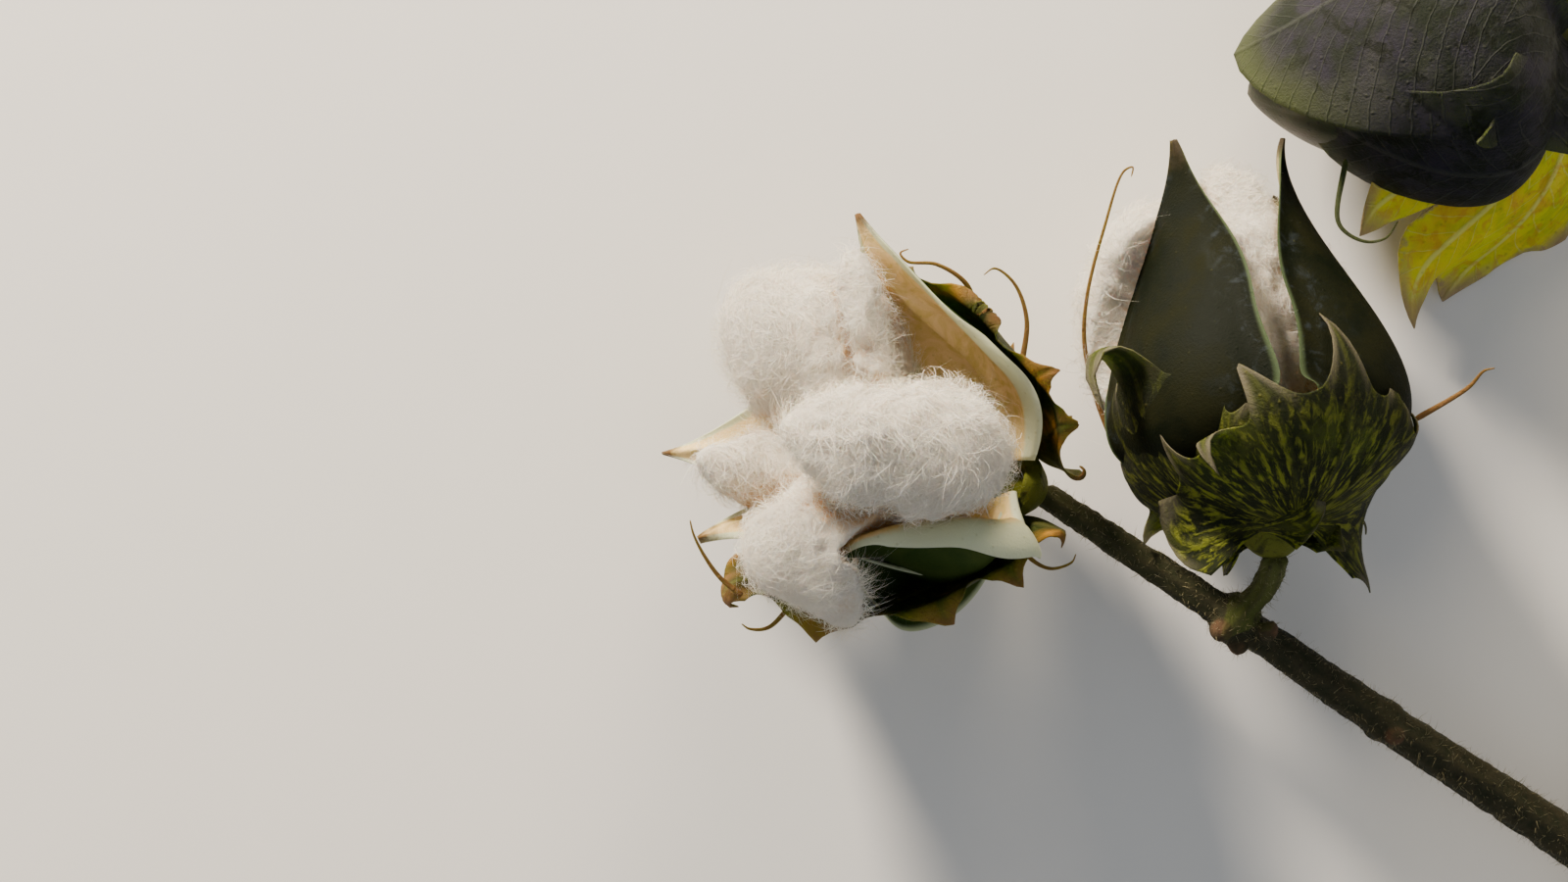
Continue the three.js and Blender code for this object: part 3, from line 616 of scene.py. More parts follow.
def valveShape(valve, seed):
    form = valveForm
    knots, line, slopes = spineLine(form["foot"], valve, form["flare"], valve["tilt"])
    bend, lip, lipBend, taper, lipFade = [valve.get(key, form[key]) for key in form["own"]]

    def shape(across, along, inside):
        at = along * form["end"]
        spot = readLine(at, knots, line)
        slope = readLine(at, knots, slopes)
        width = (at + 0.06) ** 0.55 * (1 - at) ** 0.95 / form["widest"]
        half = np.maximum(form["tipWidth"], valve["halfWidth"] * width) * (1 - taper * smooth(0.6, 1, at))
        half = half * (1 - valve.get("neck", 0) * (1 - smooth(0, 0.35, at)))
        edge = np.abs(across) ** 3
        half = half * (1 + form["wave"] * edge * np.sin(along * 17 + seed * 2.1 + across))
        lipWidth = lip * half * (1 - lipFade * smooth(0.55, 0.85, at))
        rolled = lipBend * np.clip(half / valve["halfWidth"], 0.3, 1) if "neck" in valve else lipBend
        crossed = crossing(across * half, half, bend, lipWidth, rolled)
        crossed = (crossed[0] + valve.get("hook", 0) * smooth(0.45, 1, at) ** 2,) + crossed[1:]
        wall = mix(form["wall"], form["rim"], across ** 2) * (1 - at * 0.6)
        ridge = form["septum"] * np.sin(math.pi * at) * np.exp(-(across * half / form["septumWidth"]) ** 2)
        rounding = np.sqrt(1 - np.clip((np.abs(across) - 0.94) / 0.06, 0, 1) ** 2)
        spared = wall / 2 * (1 - rounding)
        buckle = form["buckle"] * np.sin(across * 5 + seed) * np.sin(along * 9 + seed * 1.7) * (0.3 + edge)
        depth = mix(spared, wall - spared + ridge, inside) + buckle
        return sheetPoints(math.radians(valve["azimuth"]), spot, slope, crossed, depth), {}

    return shape


valveTrees = {"front": [], "back": [], "green": []}
pieces = {}
for name in bollNames:
    for index, valve in enumerate(bolls[name]["valves"]):
        shape = valveShape(valve, index + 3 * len(name))
        bm = sheetMesh(valveForm["columns"], valveForm["rows"], shape, places[name])
        valveTrees[name].append(BVHTree.FromBMesh(bm))
        node = "%s_valve_%d" % (name, index + 1)
        pieces[node] = finishMesh("valve_%s_%d" % (name, index + 1), bm, valveMaterials[name])
print("valves made")


# lint: a soft lump for each lock, pressed against the walls and the locks before it

lintForm = {
    "segments": 120, "rings": 88, "lump": 1.8, "lumpScale": 0.10, "tuft": 0.7, "tuftScale": 0.30,
    "wool": 0.3, "woolScale": 0.95, "gap": 0.35, "end": 0.06, "rays": 14, "reach": 12,
    "settle": 5,
}


def lockShape(lock, place, seed):
    start, bend, end = [np.asarray(point, float) for point in lock["path"]]
    t = np.linspace(0, 1, 160)[:, None]
    line = (1 - t) ** 2 * start + 2 * (1 - t) * t * bend + t * t * end
    over, side = sweepFrames(line)
    steps = np.concatenate([[0], np.cumsum(np.linalg.norm(np.diff(line, axis=0), axis=1))])
    knots = steps / steps[-1]

    def shape(angle, along):
        swing = mix(lintForm["end"], math.pi - lintForm["end"], along)
        at = (1 - np.cos(swing)) / 2
        closing = np.clip(np.minimum(along, 1 - along) / 0.03, 0, 1) ** 0.5
        radius = lock["radius"] * np.sin(swing) * (1 - lock["taper"] * at) * closing
        middle = readLine(at, knots, line)
        out = readLine(at, knots, over) * np.cos(angle)[:, None] + readLine(at, knots, side) * np.sin(angle)[:, None]
        rough = middle + out * radius[:, None]
        share = np.sin(swing)
        lumps = (2 * np.abs(noiseField(rough, lintForm["lumpScale"], seed)) - 0.5) * lintForm["lump"]
        tufts = (2 * np.abs(noiseField(rough, lintForm["tuftScale"], seed + 3)) - 0.4) * lintForm["tuft"]
        wool = noiseField(rough, lintForm["woolScale"], seed + 6) * lintForm["wool"]
        grow = (lumps + tufts + wool) * share
        return toPart(middle, place), toPart(rough + out * grow[:, None], place)

    return shape


def pressed(middle, points, trees):    # stops each point short of the first wall on its way out
    gap = lintForm["gap"] * mm
    held = np.zeros(len(points), bool)
    for k, (start, end) in enumerate(zip(middle, points)):
        start = Vector(start)
        way = Vector(end) - start
        length = way.length
        if length < 1e-6:
            continue
        way /= length
        for tree in trees:
            spot, normal, face, distance = tree.ray_cast(start, way, length + gap)
            if spot is not None and normal.dot(way) < 0:
                length = min(length, max(distance - gap, 0))
                held[k] = True
        points[k] = start + way * length
    return points, held


def creviceValues(bm, trees, walls, seed):    # how shut in each point is, and how far off a wall is
    rng = random.Random(seed)
    rays = [Vector([rng.gauss(0, 1) for _ in range(3)]).normalized() for _ in range(lintForm["rays"])]
    reach = lintForm["reach"] * mm
    bm.normal_update()
    shut = []
    room = []
    for vert in bm.verts:
        start = vert.co + vert.normal * 0.0002
        hits = 0.0
        for ray in rays:
            way = (vert.normal + ray * 0.95).normalized()
            for tree in trees:
                spot, normal, face, distance = tree.ray_cast(start, way, reach)
                if spot is not None:
                    hits += 1 - 0.6 * distance / reach
                    break
        shut.append(hits / len(rays))
        nearest = 3 * mm
        for tree in walls:
            spot, normal, face, distance = tree.ray_cast(start, vert.normal, nearest)
            if spot is not None:
                nearest = distance
            spot, normal, face, distance = tree.find_nearest(start, nearest)
            if spot is not None:
                nearest = min(nearest, distance)
        room.append(nearest / mm)
    return np.array(shut), np.array(room)


lintMeshes = {}
for name in bollNames:
    lockTrees = []
    made = []
    for index, lock in enumerate(bolls[name]["locks"]):
        outline = lockShape(lock, places[name], index + 11 * len(name))

        def shape(angle, along):
            middle, points = outline(angle, along)
            points, held[:] = pressed(middle, points, valveTrees[name] + lockTrees)
            return onFloor(points, 0.7)

        held = np.zeros(lintForm["segments"] * (lintForm["rings"] - 1) + 2, bool)
        bm = ballMesh(lintForm["segments"], lintForm["rings"], shape)
        axes = {"use_axis_x": True, "use_axis_y": True, "use_axis_z": True}
        near = {other for vert in bm.verts if held[vert.index] for edge in vert.link_edges for other in edge.verts}
        for _ in range(lintForm["settle"]):
            bmesh.ops.smooth_vert(bm, verts=list(near), factor=0.5, **axes)
        bmesh.ops.smooth_vert(bm, verts=bm.verts[:], factor=0.3, **axes)
        bmesh.ops.recalc_face_normals(bm, faces=bm.faces[:])
        lockTrees.append(BVHTree.FromBMesh(bm))
        made.append(bm)
    for index, bm in enumerate(made):
        shut, room = creviceValues(bm, valveTrees[name] + lockTrees, valveTrees[name], 5 + index)
        # the shut value is laid on as painted crevice shade, weaker for the back boll
        vertLayers(bm, crevice=shut * bolls[name]["creviceShare"])
        node = "%s_lint_%d" % (name, index + 1)
        piece = finishMesh("lint_%s_%d" % (name, index + 1), bm, lintMaterial)
        pieces[node] = piece
        lintMeshes[node] = (piece.data, room, shut)
print("lint made")


# loose fibres over the lint, as joined ribbons

fibreForm = {
    "perSquare": 6.5, "quickShare": 0.6, "length": (2.0, 6.0), "width": (0.04, 0.08), "height": (0.05, 0.7),
    "wild": 0.16, "wildHeight": 2.4, "steps": 4, "sink": 0.25, "curl": 0.6, "wave": 0.35,
}


def meshFromArrays(name, points, quads, material):
    mesh = bpy.data.meshes.new(name)
    mesh.vertices.add(len(points))
    mesh.vertices.foreach_set("co", points.astype(np.float32).ravel())
    mesh.loops.add(quads.size)
    mesh.loops.foreach_set("vertex_index", quads.astype(np.int32).ravel())
    mesh.polygons.add(len(quads))
    mesh.polygons.foreach_set("loop_start", np.arange(0, quads.size, 4, dtype=np.int32))
    mesh.update(calc_edges=True)
    mesh.validate()
    mesh.materials.append(material)
    piece = bpy.data.objects.new(name, mesh)
    bpy.context.scene.collection.objects.link(piece)
    return piece


def ribbons(name, centres, widths, material):    # centres: ribbon, step, xyz; widths: the same shape
    count, steps, _ = centres.shape
    left = centres - widths
    right = centres + widths
    points = np.stack([left, right], axis=2).reshape(-1, 3)
    first = (np.arange(count)[:, None] * steps + np.arange(steps - 1)[None, :]) * 2
    quads = np.stack([first, first + 1, first + 3, first + 2], axis=2).reshape(-1, 4)
    return meshFromArrays(name, points, quads, material)


def surfaceSeeds(mesh, count, rng, values):    # even spots over a mesh, with normals and values there
    mesh.calc_loop_triangles()
    corners = np.zeros(len(mesh.loop_triangles) * 3, dtype=np.int32)
    mesh.loop_triangles.foreach_get("vertices", corners)
    corners = corners.reshape(-1, 3)
    points = np.zeros(len(mesh.vertices) * 3)
    mesh.vertices.foreach_get("co", points)
    points = points.reshape(-1, 3)
    normals = np.zeros(len(mesh.vertices) * 3)
    mesh.vertices.foreach_get("normal", normals)
    normals = normals.reshape(-1, 3)
    sides = points[corners]
    areas = np.linalg.norm(np.cross(sides[:, 1] - sides[:, 0], sides[:, 2] - sides[:, 0]), axis=1) / 2
    if count is None:
        count = int(areas.sum() * 1e6 * fibreForm["perSquare"])
    chosen = rng.choice(len(corners), size=count, p=areas / areas.sum())
    share = rng.random((count, 2))
    flip = share.sum(axis=1) > 1
    share[flip] = 1 - share[flip]
    weight = np.stack([1 - share.sum(axis=1), share[:, 0], share[:, 1]], axis=1)
    spot = (sides[chosen] * weight[:, :, None]).sum(axis=1)
    normal = (normals[corners[chosen]] * weight[:, :, None]).sum(axis=1)
    normal /= np.linalg.norm(normal, axis=1)[:, None]
    read = [(value[corners[chosen]] * weight).sum(axis=1) for value in values]
    return spot, normal, read


def clearOf(walls, starts, ends):    # which lines from start to end meet no wall
    clear = np.ones(len(starts), bool)
    for k, (start, end) in enumerate(zip(starts, ends)):
        start = Vector(start)
        way = Vector(end) - start
        clear[k] = not any(tree.ray_cast(start, way.normalized(), way.length * 1.15)[0] for tree in walls)
    return clear


def lintFibres(name, mesh, room, shut, radius, walls, seed):
    rng = np.random.default_rng(seed)
    spot, normal, (room, shut) = surfaceSeeds(mesh, None, rng, [room, shut])
    keep = (shut < 0.85) & (room > 0.5)
    spot, normal, room, shut = spot[keep], normal[keep], room[keep], shut[keep]
    count = len(spot)
    swirl = np.stack([np.sin(spot[:, 1] * 330 + seed), np.sin(spot[:, 2] * 290 + 2), np.sin(spot[:, 0] * 310 + 4)], 1)
    way = swirl * 0.9 + rng.normal(size=(count, 3)) * 0.8
    way -= normal * (way * normal).sum(axis=1)[:, None]
    way /= np.linalg.norm(way, axis=1)[:, None]
    side = np.cross(normal, way)
    length = rng.uniform(*fibreForm["length"], count) * mm
    height = rng.uniform(*fibreForm["height"], count) ** 1.6
    wild = (rng.random(count) < fibreForm["wild"]) & (room > 2.5)
    height = np.where(wild, rng.uniform(0.6, fibreForm["wildHeight"], count), height)
    height = np.minimum(height, room * 0.55) * mm
    length = np.where(room < 2.6, length * 0.45, length)
    curl = rng.normal(size=count) * fibreForm["curl"]
    t = np.linspace(0, 1, fibreForm["steps"] + 1)[None, :]
    run = length[:, None] * t
    rise = height[:, None] * np.sin(t * math.pi * 0.85 + 0.15) - fibreForm["sink"] * mm * (1 - t) * (1 - t)
    rise = rise - run ** 2 / (2 * radius * mm * 1.15)
    drift = curl[:, None] * length[:, None] * t * t
    centres = spot[:, None, :] + way[:, None, :] * run[..., None] + side[:, None, :] * drift[..., None]
    phase = rng.random(count)[:, None]
    sway = rng.normal(size=count)[:, None] * fibreForm["wave"] * mm * np.sin(tau * (t * 1.3 + phase))
    centres = centres + normal[:, None, :] * rise[..., None] + side[:, None, :] * (sway * t)[..., None]
    centres[..., 2] = np.maximum(centres[..., 2], 0.05 * mm)
    clear = clearOf(walls, spot - normal * 0.5 * mm, centres[:, 2]) & clearOf(walls, centres[:, 2], centres[:, -1])
    flat = side + normal * rng.normal(size=(count, 1)) * 0.5
    flat /= np.linalg.norm(flat, axis=1)[:, None]
    wide = rng.uniform(*fibreForm["width"], count) * mm / 2
    taper = np.array([0.6, 1.0, 0.95, 0.7, 0.2])
    widths = flat[:, None, :] * (wide[:, None] * taper[None, :])[..., None]
    return ribbons(name, centres[clear], widths[clear], fibreMaterial)


fibres = []
for order, (node, (mesh, room, shut)) in enumerate(sorted(lintMeshes.items())):
    name, index = node.split("_lint_")
    radius = bolls[name]["locks"][int(index) - 1]["radius"]
    piece = lintFibres("fibres_%s_%s" % (name, index), mesh, room, shut, radius, valveTrees[name], 100 + order)
    fibres.append(piece)
    pieces[node + "_fibres"] = piece
print("fibres made", sum(len(piece.data.polygons) * 2 for piece in fibres), "triangles")


# bracts: heart-shaped leaves with long curling teeth

bractForm = {
    "foot": (5.8, 0.4), "root": 2.5, "bend": 25, "teeth": 9, "notch": 0.66, "spread": 122, "lobe": 0.27,
    "lobeFlare": 0.35, "thick": 0.55, "thin": 0.2, "perTooth": 18, "rows": 64, "sharp": 2.6, "deeper": 0.04, "cleft": 2,
    "curl": (2.6, 9.0), "inwards": 0.55, "gentle": 4.0, "lean": 0.12, "lengths": (0.86, 1.0), "rollFrom": 0.92,
    "ruffle": 0.7, "rib": 0.22, "ribWidth": 0.55,
}


def bractSpine(bract):    # places by distance along the spine, also behind the foot
    knots, line, slopes = spineLine(bractForm["foot"], bract, bract["lift"], bract["tipLift"])
    gone = np.concatenate([[0], np.cumsum(np.linalg.norm(np.diff(line, axis=0), axis=1))])
    flare = bractForm["lobeFlare"]
    backWay = math.atan2(math.sqrt(1 - flare * flare), -flare)
    startWay = math.atan2(slopes[0][1], slopes[0][0])
    behind = np.linspace(0, 40, 160)
    ways = mix(startWay, backWay, smooth(0, 6, behind))
    steps = np.stack([np.cos(ways), np.sin(ways)], axis=1)
    spots = line[0] - np.concatenate([[[0, 0]], np.cumsum(steps[:-1] * (behind[1] - behind[0]), axis=0)])
    distance = np.concatenate([-behind[:0:-1], gone])
    return distance, np.concatenate([spots[:0:-1], line]), np.concatenate([steps[:0:-1], slopes]), gone[-1]


def bractShape(bract, teeth, curl, seed):
    form = bractForm
    rng = np.random.default_rng(seed)
    distances, line, slopes, length = bractSpine(bract)
    notch = bract.get("notch", form["notch"])
    lobe = bract.get("lobe", form["lobe"])
    spread = math.radians(bract.get("spread", form["spread"]))
    twist = math.radians(bract.get("twist", 0))
    rollSides = np.where(rng.random(teeth) < bract.get("inwards", form["inwards"]), 1, -1)
    rolls = rng.uniform(*curl, teeth) * np.where(rollSides > 0, form["gentle"], 1)
    leans = rng.normal(0, form["lean"], teeth)
    lengths = rng.uniform(*form["lengths"], teeth)

    def shape(across, along, inside):
        phase = np.clip((across + 1) / 2 * teeth, 0, teeth - 1e-6)
        tooth = np.floor(phase).astype(int)
        wave = 1 - 2 * np.abs(phase - tooth - 0.5)
        turn = np.abs(across)
        body = mix(1, lobe, turn ** 1.2)
        low = mix(notch, 0.9, turn ** bract.get("cleft", form["cleft"])) - form["deeper"]
        outline = mix(low, mix(lengths[tooth], 1, turn), wave ** bract.get("sharp", form["sharp"]))
        distance = mix(form["root"], length * body * outline, along)
        angle = across * spread + leans[tooth] * wave * along ** 4
        rolled = np.maximum(0, distance - length * body * low * form["rollFrom"])
        roll = rolls[tooth]
        way = rollSides[tooth]
        swing = rolled / roll * smooth(0, 0.5, wave)
        half = mix(form["thick"], form["thin"], along) / 2
        aside = np.abs(phase - tooth - 0.5) * 2 * spread / teeth * distance * bract["width"]
        rib = form["rib"] * np.exp(-(aside / form["ribWidth"]) ** 2) * (1 - along ** 2)
        offset = np.where(inside > 0.5, half - rib * 0.5, -half - rib)
        reach = distance - rolled + roll * np.sin(swing) - way * offset * np.sin(swing)
        reach = np.where(swing > 1e-3, reach + (rolled - roll * swing), distance)
        depth = way * roll * (1 - np.cos(swing)) + offset * np.cos(swing)
        depth = depth + form["ruffle"] * np.sin(across * 13 + seed) * along ** 2
        crossed = crossing(reach * np.sin(angle) * bract["width"], np.full(len(across), 1e6), form["bend"], 0, 1)
        forth = np.minimum(reach * np.cos(angle), length)
        spot = readLine(forth, distances, line)
        slope = readLine(forth, distances, slopes)
        slope /= np.linalg.norm(slope, axis=1)[:, None]
        points = sheetPoints(math.radians(bract["azimuth"]), spot, slope, crossed, depth, twist)
        tip = smooth(0.2, 0.8, wave) * smooth(0.84, 1, along)
        return points, {"ray": distance, "aside": aside, "tip": tip, "fan": across * spread}

    return shape


bractTrees = {"front": [], "back": [], "green": []}
for name in bollNames:
    for index, bract in enumerate(bolls[name]["bracts"]):
        teeth = bract.get("teeth", bractForm["teeth"])
        curl = bract.get("curl", bractForm["curl"])
        shape = bractShape(bract, teeth, curl, 40 + index + 7 * len(name))
        columns = teeth * bractForm["perTooth"]
        bm = sheetMesh(columns, bractForm["rows"], shape, places[name])
        bractTrees[name].append(BVHTree.FromBMesh(bm))
        node = "%s_bract_%d" % (name, index + 1)
        piece = finishMesh("bract_%s_%d" % (name, index + 1), bm, bractMaterials[bract.get("look", name)])
        pieces[node] = piece
print("bracts made")


# calyx cups and the green boll's capsule

calyxForm = {"sides": 80, "profile": ((0.0, -3.6), (1.9, -3.2), (0.62, -2.1), (0.80, -0.9), (0.97, 0.4),
                                      (1.0, 1.4), (0.93, 2.3), (0.84, 2.9), (0.74, 2.5), (0.55, 1.6), (0.0, 1.2))}
for name in bollNames:
    radius = bolls[name]["calyx"]
    bm = bmesh.new()
    ring = []
    for wide, high in calyxForm["profile"]:
        wide = wide if wide == 1.9 else wide * radius
        ring.append(bm.verts.new((wide, 0, high)))
    edges = [bm.edges.new(pair) for pair in zip(ring, ring[1:])]
    bmesh.ops.spin(bm, geom=ring + edges, cent=(0, 0, 0), axis=(0, 0, 1), angle=tau,
                   steps=calyxForm["sides"], use_merge=True, use_duplicate=False)
    bmesh.ops.remove_doubles(bm, verts=bm.verts[:], dist=1e-4)
    bmesh.ops.subdivide_edges(bm, edges=bm.edges[:], cuts=1, use_grid_fill=True, smooth=0.4)
    spots = np.array([vert.co[:] for vert in bm.verts])
    angle = np.arctan2(spots[:, 1], spots[:, 0])
    lobes = 1 + 0.05 * np.cos(angle * 5) * smooth(0, 2.5, spots[:, 2])
    spots[:, :2] *= lobes[:, None]
    spots[:, 2] += 0.35 * np.cos(angle * 5) * smooth(1.2, 2.8, spots[:, 2])
    moveVerts(bm, toPart(spots, places[name]))
    bmesh.ops.recalc_face_normals(bm, faces=bm.faces[:])
    far = np.full(len(bm.verts), 9.0)
    vertLayers(bm, ray=far, aside=far, along=np.zeros(len(far)), tip=np.zeros(len(far)), fan=far)
    piece = finishMesh("calyx_%s" % name, bm, bractMaterials["back"])
    pieces["%s_calyx" % name] = piece

capsuleForm = {"length": 45, "radius": 16, "segments": 96, "rings": 90, "suture": 0.55, "valves": 4}


def capsuleShape(angle, along):
    form = capsuleForm
    swell = np.sin(math.pi * np.clip(0.03 + 0.97 * along, 0, 1) ** 0.8)
    radius = form["radius"] * np.clip(swell, 0, 1) ** 0.7
    radius = radius * np.clip(along / 0.03, 0, 1) ** 0.5
    seam = np.abs(((angle * form["valves"] / tau) % 1) - 0.5) * 2
    radius = radius - form["suture"] * np.exp(-(seam / 0.10) ** 2) * np.sin(math.pi * along)
    radius = np.maximum(radius, 0)
    height = 3 + (form["length"] - 3) * along
    rough = np.stack([radius * np.cos(angle), radius * np.sin(angle), height], axis=1)
    grow = 1 + 0.02 * noiseField(rough, 0.12, 5)
    rough[:, :2] *= grow[:, None]
    return toPart(rough, places["green"])


bm = ballMesh(capsuleForm["segments"], capsuleForm["rings"], capsuleShape)
pieces["green_capsule"] = finishMesh("capsule_green", bm, capsuleMaterial)
print("calyxes and capsule made")


# stems: one rind over the whole branch, with nodes, ribs and leaf scars

stemForm = {
    "cutEnd": (146, -94, 4.5), "fork": (130, -69, 10), "node": (66, -26, 18), "bend": (134, -8, 14),
    "low": (138, -81, 7), "pastCut": 3, "cutRings": ((0.88, 0), (0.84, 1), (0.1, 1)), "cutRadius": 4.6,
    "forkRadius": 4.3, "rootRadius": 3.6, "nodeRadius": 2.5, "stalkRadius": 1.9, "bendRadius": 3.4, "voxel": 0.42, "segments": 28, "rings": 90, "ribs": 7, "ribDepth": 0.13,
    "knobbly": 0.22, "hairs": 9000,
}


def belowCalyx(boll):
    return tuple(np.asarray(boll["base"], float) - unit(boll["axis"]) * 3.3)


def smoothLine(points, count=120):    # a centripetal Catmull-Rom line
    points = [np.asarray(point, float) for point in points]
    points = [2 * points[0] - points[1]] + points + [2 * points[-1] - points[-2]]
    line = []
    spans = len(points) - 3
    for k in range(spans):
        a, b, c, d = points[k:k + 4]
        ta = 0.0
        tb = ta + np.linalg.norm(b - a) ** 0.5
        tc = tb + np.linalg.norm(c - b) ** 0.5
        td = tc + np.linalg.norm(d - c) ** 0.5
        t = np.linspace(tb, tc, count // spans, endpoint=k == spans - 1)[:, None]
        ab = (tb - t) / (tb - ta) * a + (t - ta) / (tb - ta) * b
        bc = (tc - t) / (tc - tb) * b + (t - tb) / (tc - tb) * c
        cd = (td - t) / (td - tc) * c + (t - tc) / (td - tc) * d
        abc = (tc - t) / (tc - ta) * ab + (t - ta) / (tc - ta) * bc
        bcd = (td - t) / (td - tb) * bc + (t - tb) / (td - tb) * cd
        line.append((tc - t) / (tc - tb) * abc + (t - tb) / (tc - tb) * bcd)
    return np.concatenate(line)


form = stemForm
cutWay = unit(np.subtract(form["cutEnd"], form["low"]))
pastCut = np.asarray(form["cutEnd"]) + cutWay * form["pastCut"]    # the first limb is cut back to its end
limbs = [
    ((pastCut, form["cutEnd"], form["low"], form["fork"]), form["cutRadius"], form["forkRadius"]),
    ((form["fork"], (133, -40, 12), form["bend"]), form["forkRadius"], form["bendRadius"]),
    ((form["bend"], (134, 22, 14), (130, 50, 14.5), belowCalyx(bolls["green"])), form["bendRadius"], form["stalkRadius"]),
    ((form["fork"], (111.3, -56, 13.5), (88, -41, 16.5), form["node"]), form["rootRadius"], form["nodeRadius"]),
    ((form["node"], (52, -17, 17), belowCalyx(bolls["front"])), form["nodeRadius"], form["stalkRadius"]),
    ((form["node"], (69.5, -21, 23.5), belowCalyx(bolls["back"])), form["stalkRadius"], form["stalkRadius"]),
]
knobs = [(form["node"], 3.9, 1.0), (form["fork"], 5.0, 1.0), (form["bend"], 4.0, 1.0), ((88, -41, 16.5), 3.3, 1.0)]
scars = [((63.5, -27.5, 21.0), 1.7), ((70.5, -27.5, 21.2), 1.5), ((66, -30, 19.5), 1.4), ((127, -66, 14.0), 2.4),
         ((131, -7, 17.0), 2.0), ((89, -43, 19.2), 1.5)]
whole = bmesh.new()
for points, thick, slim in limbs:
    line = smoothLine(points)
    over, side = sweepFrames(line)
    first = unit(line[0] - line[1])
    knots = np.linspace(0, 1, len(line))

    def limbShape(angle, along):
        middle = readLine(along, knots, line)
        ends = np.sqrt(np.clip(1 - np.abs(2 * along - 1) ** 60, 0, 1))
        radius = mix(thick, slim, along) * ends
        out = readLine(along, knots, over) * np.cos(angle)[:, None] + readLine(along, knots, side) * np.sin(angle)[:, None]
        return toPart(middle + out * radius[:, None])

    limb = ballMesh(form["segments"], form["rings"], limbShape)
    mesh = bpy.data.meshes.new("limb")
    limb.to_mesh(mesh)
    limb.free()
    whole.from_mesh(mesh)
    bpy.data.meshes.remove(mesh)
for spot, radius, squash in knobs:
    where = Matrix.Translation(toPart(np.asarray(spot, float)))
    bmesh.ops.create_uvsphere(whole, u_segments=28, v_segments=18, radius=radius * mm, matrix=where)
for spot, radius in scars:
    where = Matrix.Translation(toPart(np.asarray(spot, float)))
    bmesh.ops.create_uvsphere(whole, u_segments=20, v_segments=12, radius=radius * mm, matrix=where)
stems = finishMesh("stems", whole, barkMaterial)
bpy.context.view_layer.objects.active = stems
remesh = stems.modifiers.new("Join", "REMESH")
remesh.mode = "VOXEL"
remesh.voxel_size = form["voxel"] * mm
settle = stems.modifiers.new("Settle", "SMOOTH")
settle.factor = 0.5
settle.iterations = 6
for modifier in ("Join", "Settle"):
    with bpy.context.temp_override(object=stems, active_object=stems):
        bpy.ops.object.modifier_apply(modifier=modifier)
bm = bmesh.new()
bm.from_mesh(stems.data)
centres = KDTree(6 * 400)
centreRows = []
for number, (points, thick, slim) in enumerate(limbs):
    line = smoothLine(points, 360)
    over, side = sweepFrames(line)
    for k in range(len(line)):
        centres.insert(toPart(line[k]), len(centreRows))
        centreRows.append((line[k], over[k], side[k], number, k / len(line)))
centres.balance()
ribs = []
young = []
moved = []
for vert in bm.verts:
    row = centres.find(vert.co)[1]
    middle, over, side, number, along = centreRows[row]
    spot = np.array(vert.co) / mm - branchShift
    out = spot - middle
    angle = math.atan2(out @ side, out @ over)
    wave = math.cos(angle * form["ribs"] + 2.5 * noise.noise(Vector(spot) * 0.05))
    rough = noise.noise(Vector(spot) * 0.45) + 0.6 * noise.noise(Vector(spot) * 1.3)
    lift = form["ribDepth"] * wave + form["knobbly"] * rough
    moved.append(np.array(vert.co) + np.array(vert.normal) * lift * mm)
    ribs.append(max(0, wave))
    young.append({4: 0.3 * along, 5: 1.0, 2: max(0, along * 2 - 1)}.get(number, 0.0))
moveVerts(bm, moved)
vertLayers(bm, rib=ribs, young=young)
cutSpot = toPart(np.asarray(form["cutEnd"], float))
cutDone = bmesh.ops.bisect_plane(bm, geom=bm.verts[:] + bm.edges[:] + bm.faces[:], plane_co=cutSpot,
                                 plane_no=cutWay, clear_outer=True)
rim = [element for element in cutDone["geom_cut"] if isinstance(element, bmesh.types.BMEdge)]
cutMiddle = sum((vert.co for edge in rim for vert in edge.verts), Vector()) / (2 * len(rim))
cutLayer = bm.verts.layers.float.new("cut")
cutFaces = set()
lastShare = 1
for share, bare in form["cutRings"]:    # bark's edge first, then the bare wood
    grown = bmesh.ops.extrude_edge_only(bm, edges=rim)["geom"]
    rim = [element for element in grown if isinstance(element, bmesh.types.BMEdge) and element.is_boundary]
    cutFaces.update(element for element in grown if isinstance(element, bmesh.types.BMFace))
    for vert in (element for element in grown if isinstance(element, bmesh.types.BMVert)):
        vert.co = cutMiddle.lerp(vert.co, share / lastShare)
        vert[cutLayer] = bare
    lastShare = share
cutFaces.update(bmesh.ops.edgeloop_fill(bm, edges=rim)["faces"])
spots = np.array([vert.co[:] for vert in bm.verts]) / mm - branchShift
scarValues = np.zeros(len(spots))
for spot, radius in scars:
    distance = np.linalg.norm(spots - np.asarray(spot, float), axis=1)
    scarValues = np.maximum(scarValues, smooth(radius * 1.15, radius * 0.7, distance))
vertLayers(bm, scar=scarValues)
bmesh.ops.recalc_face_normals(bm, faces=bm.faces[:])
for face in bm.faces:
    face.smooth = face not in cutFaces
bm.to_mesh(stems.data)
bm.free()
print("stems made", len(stems.data.polygons), "faces")


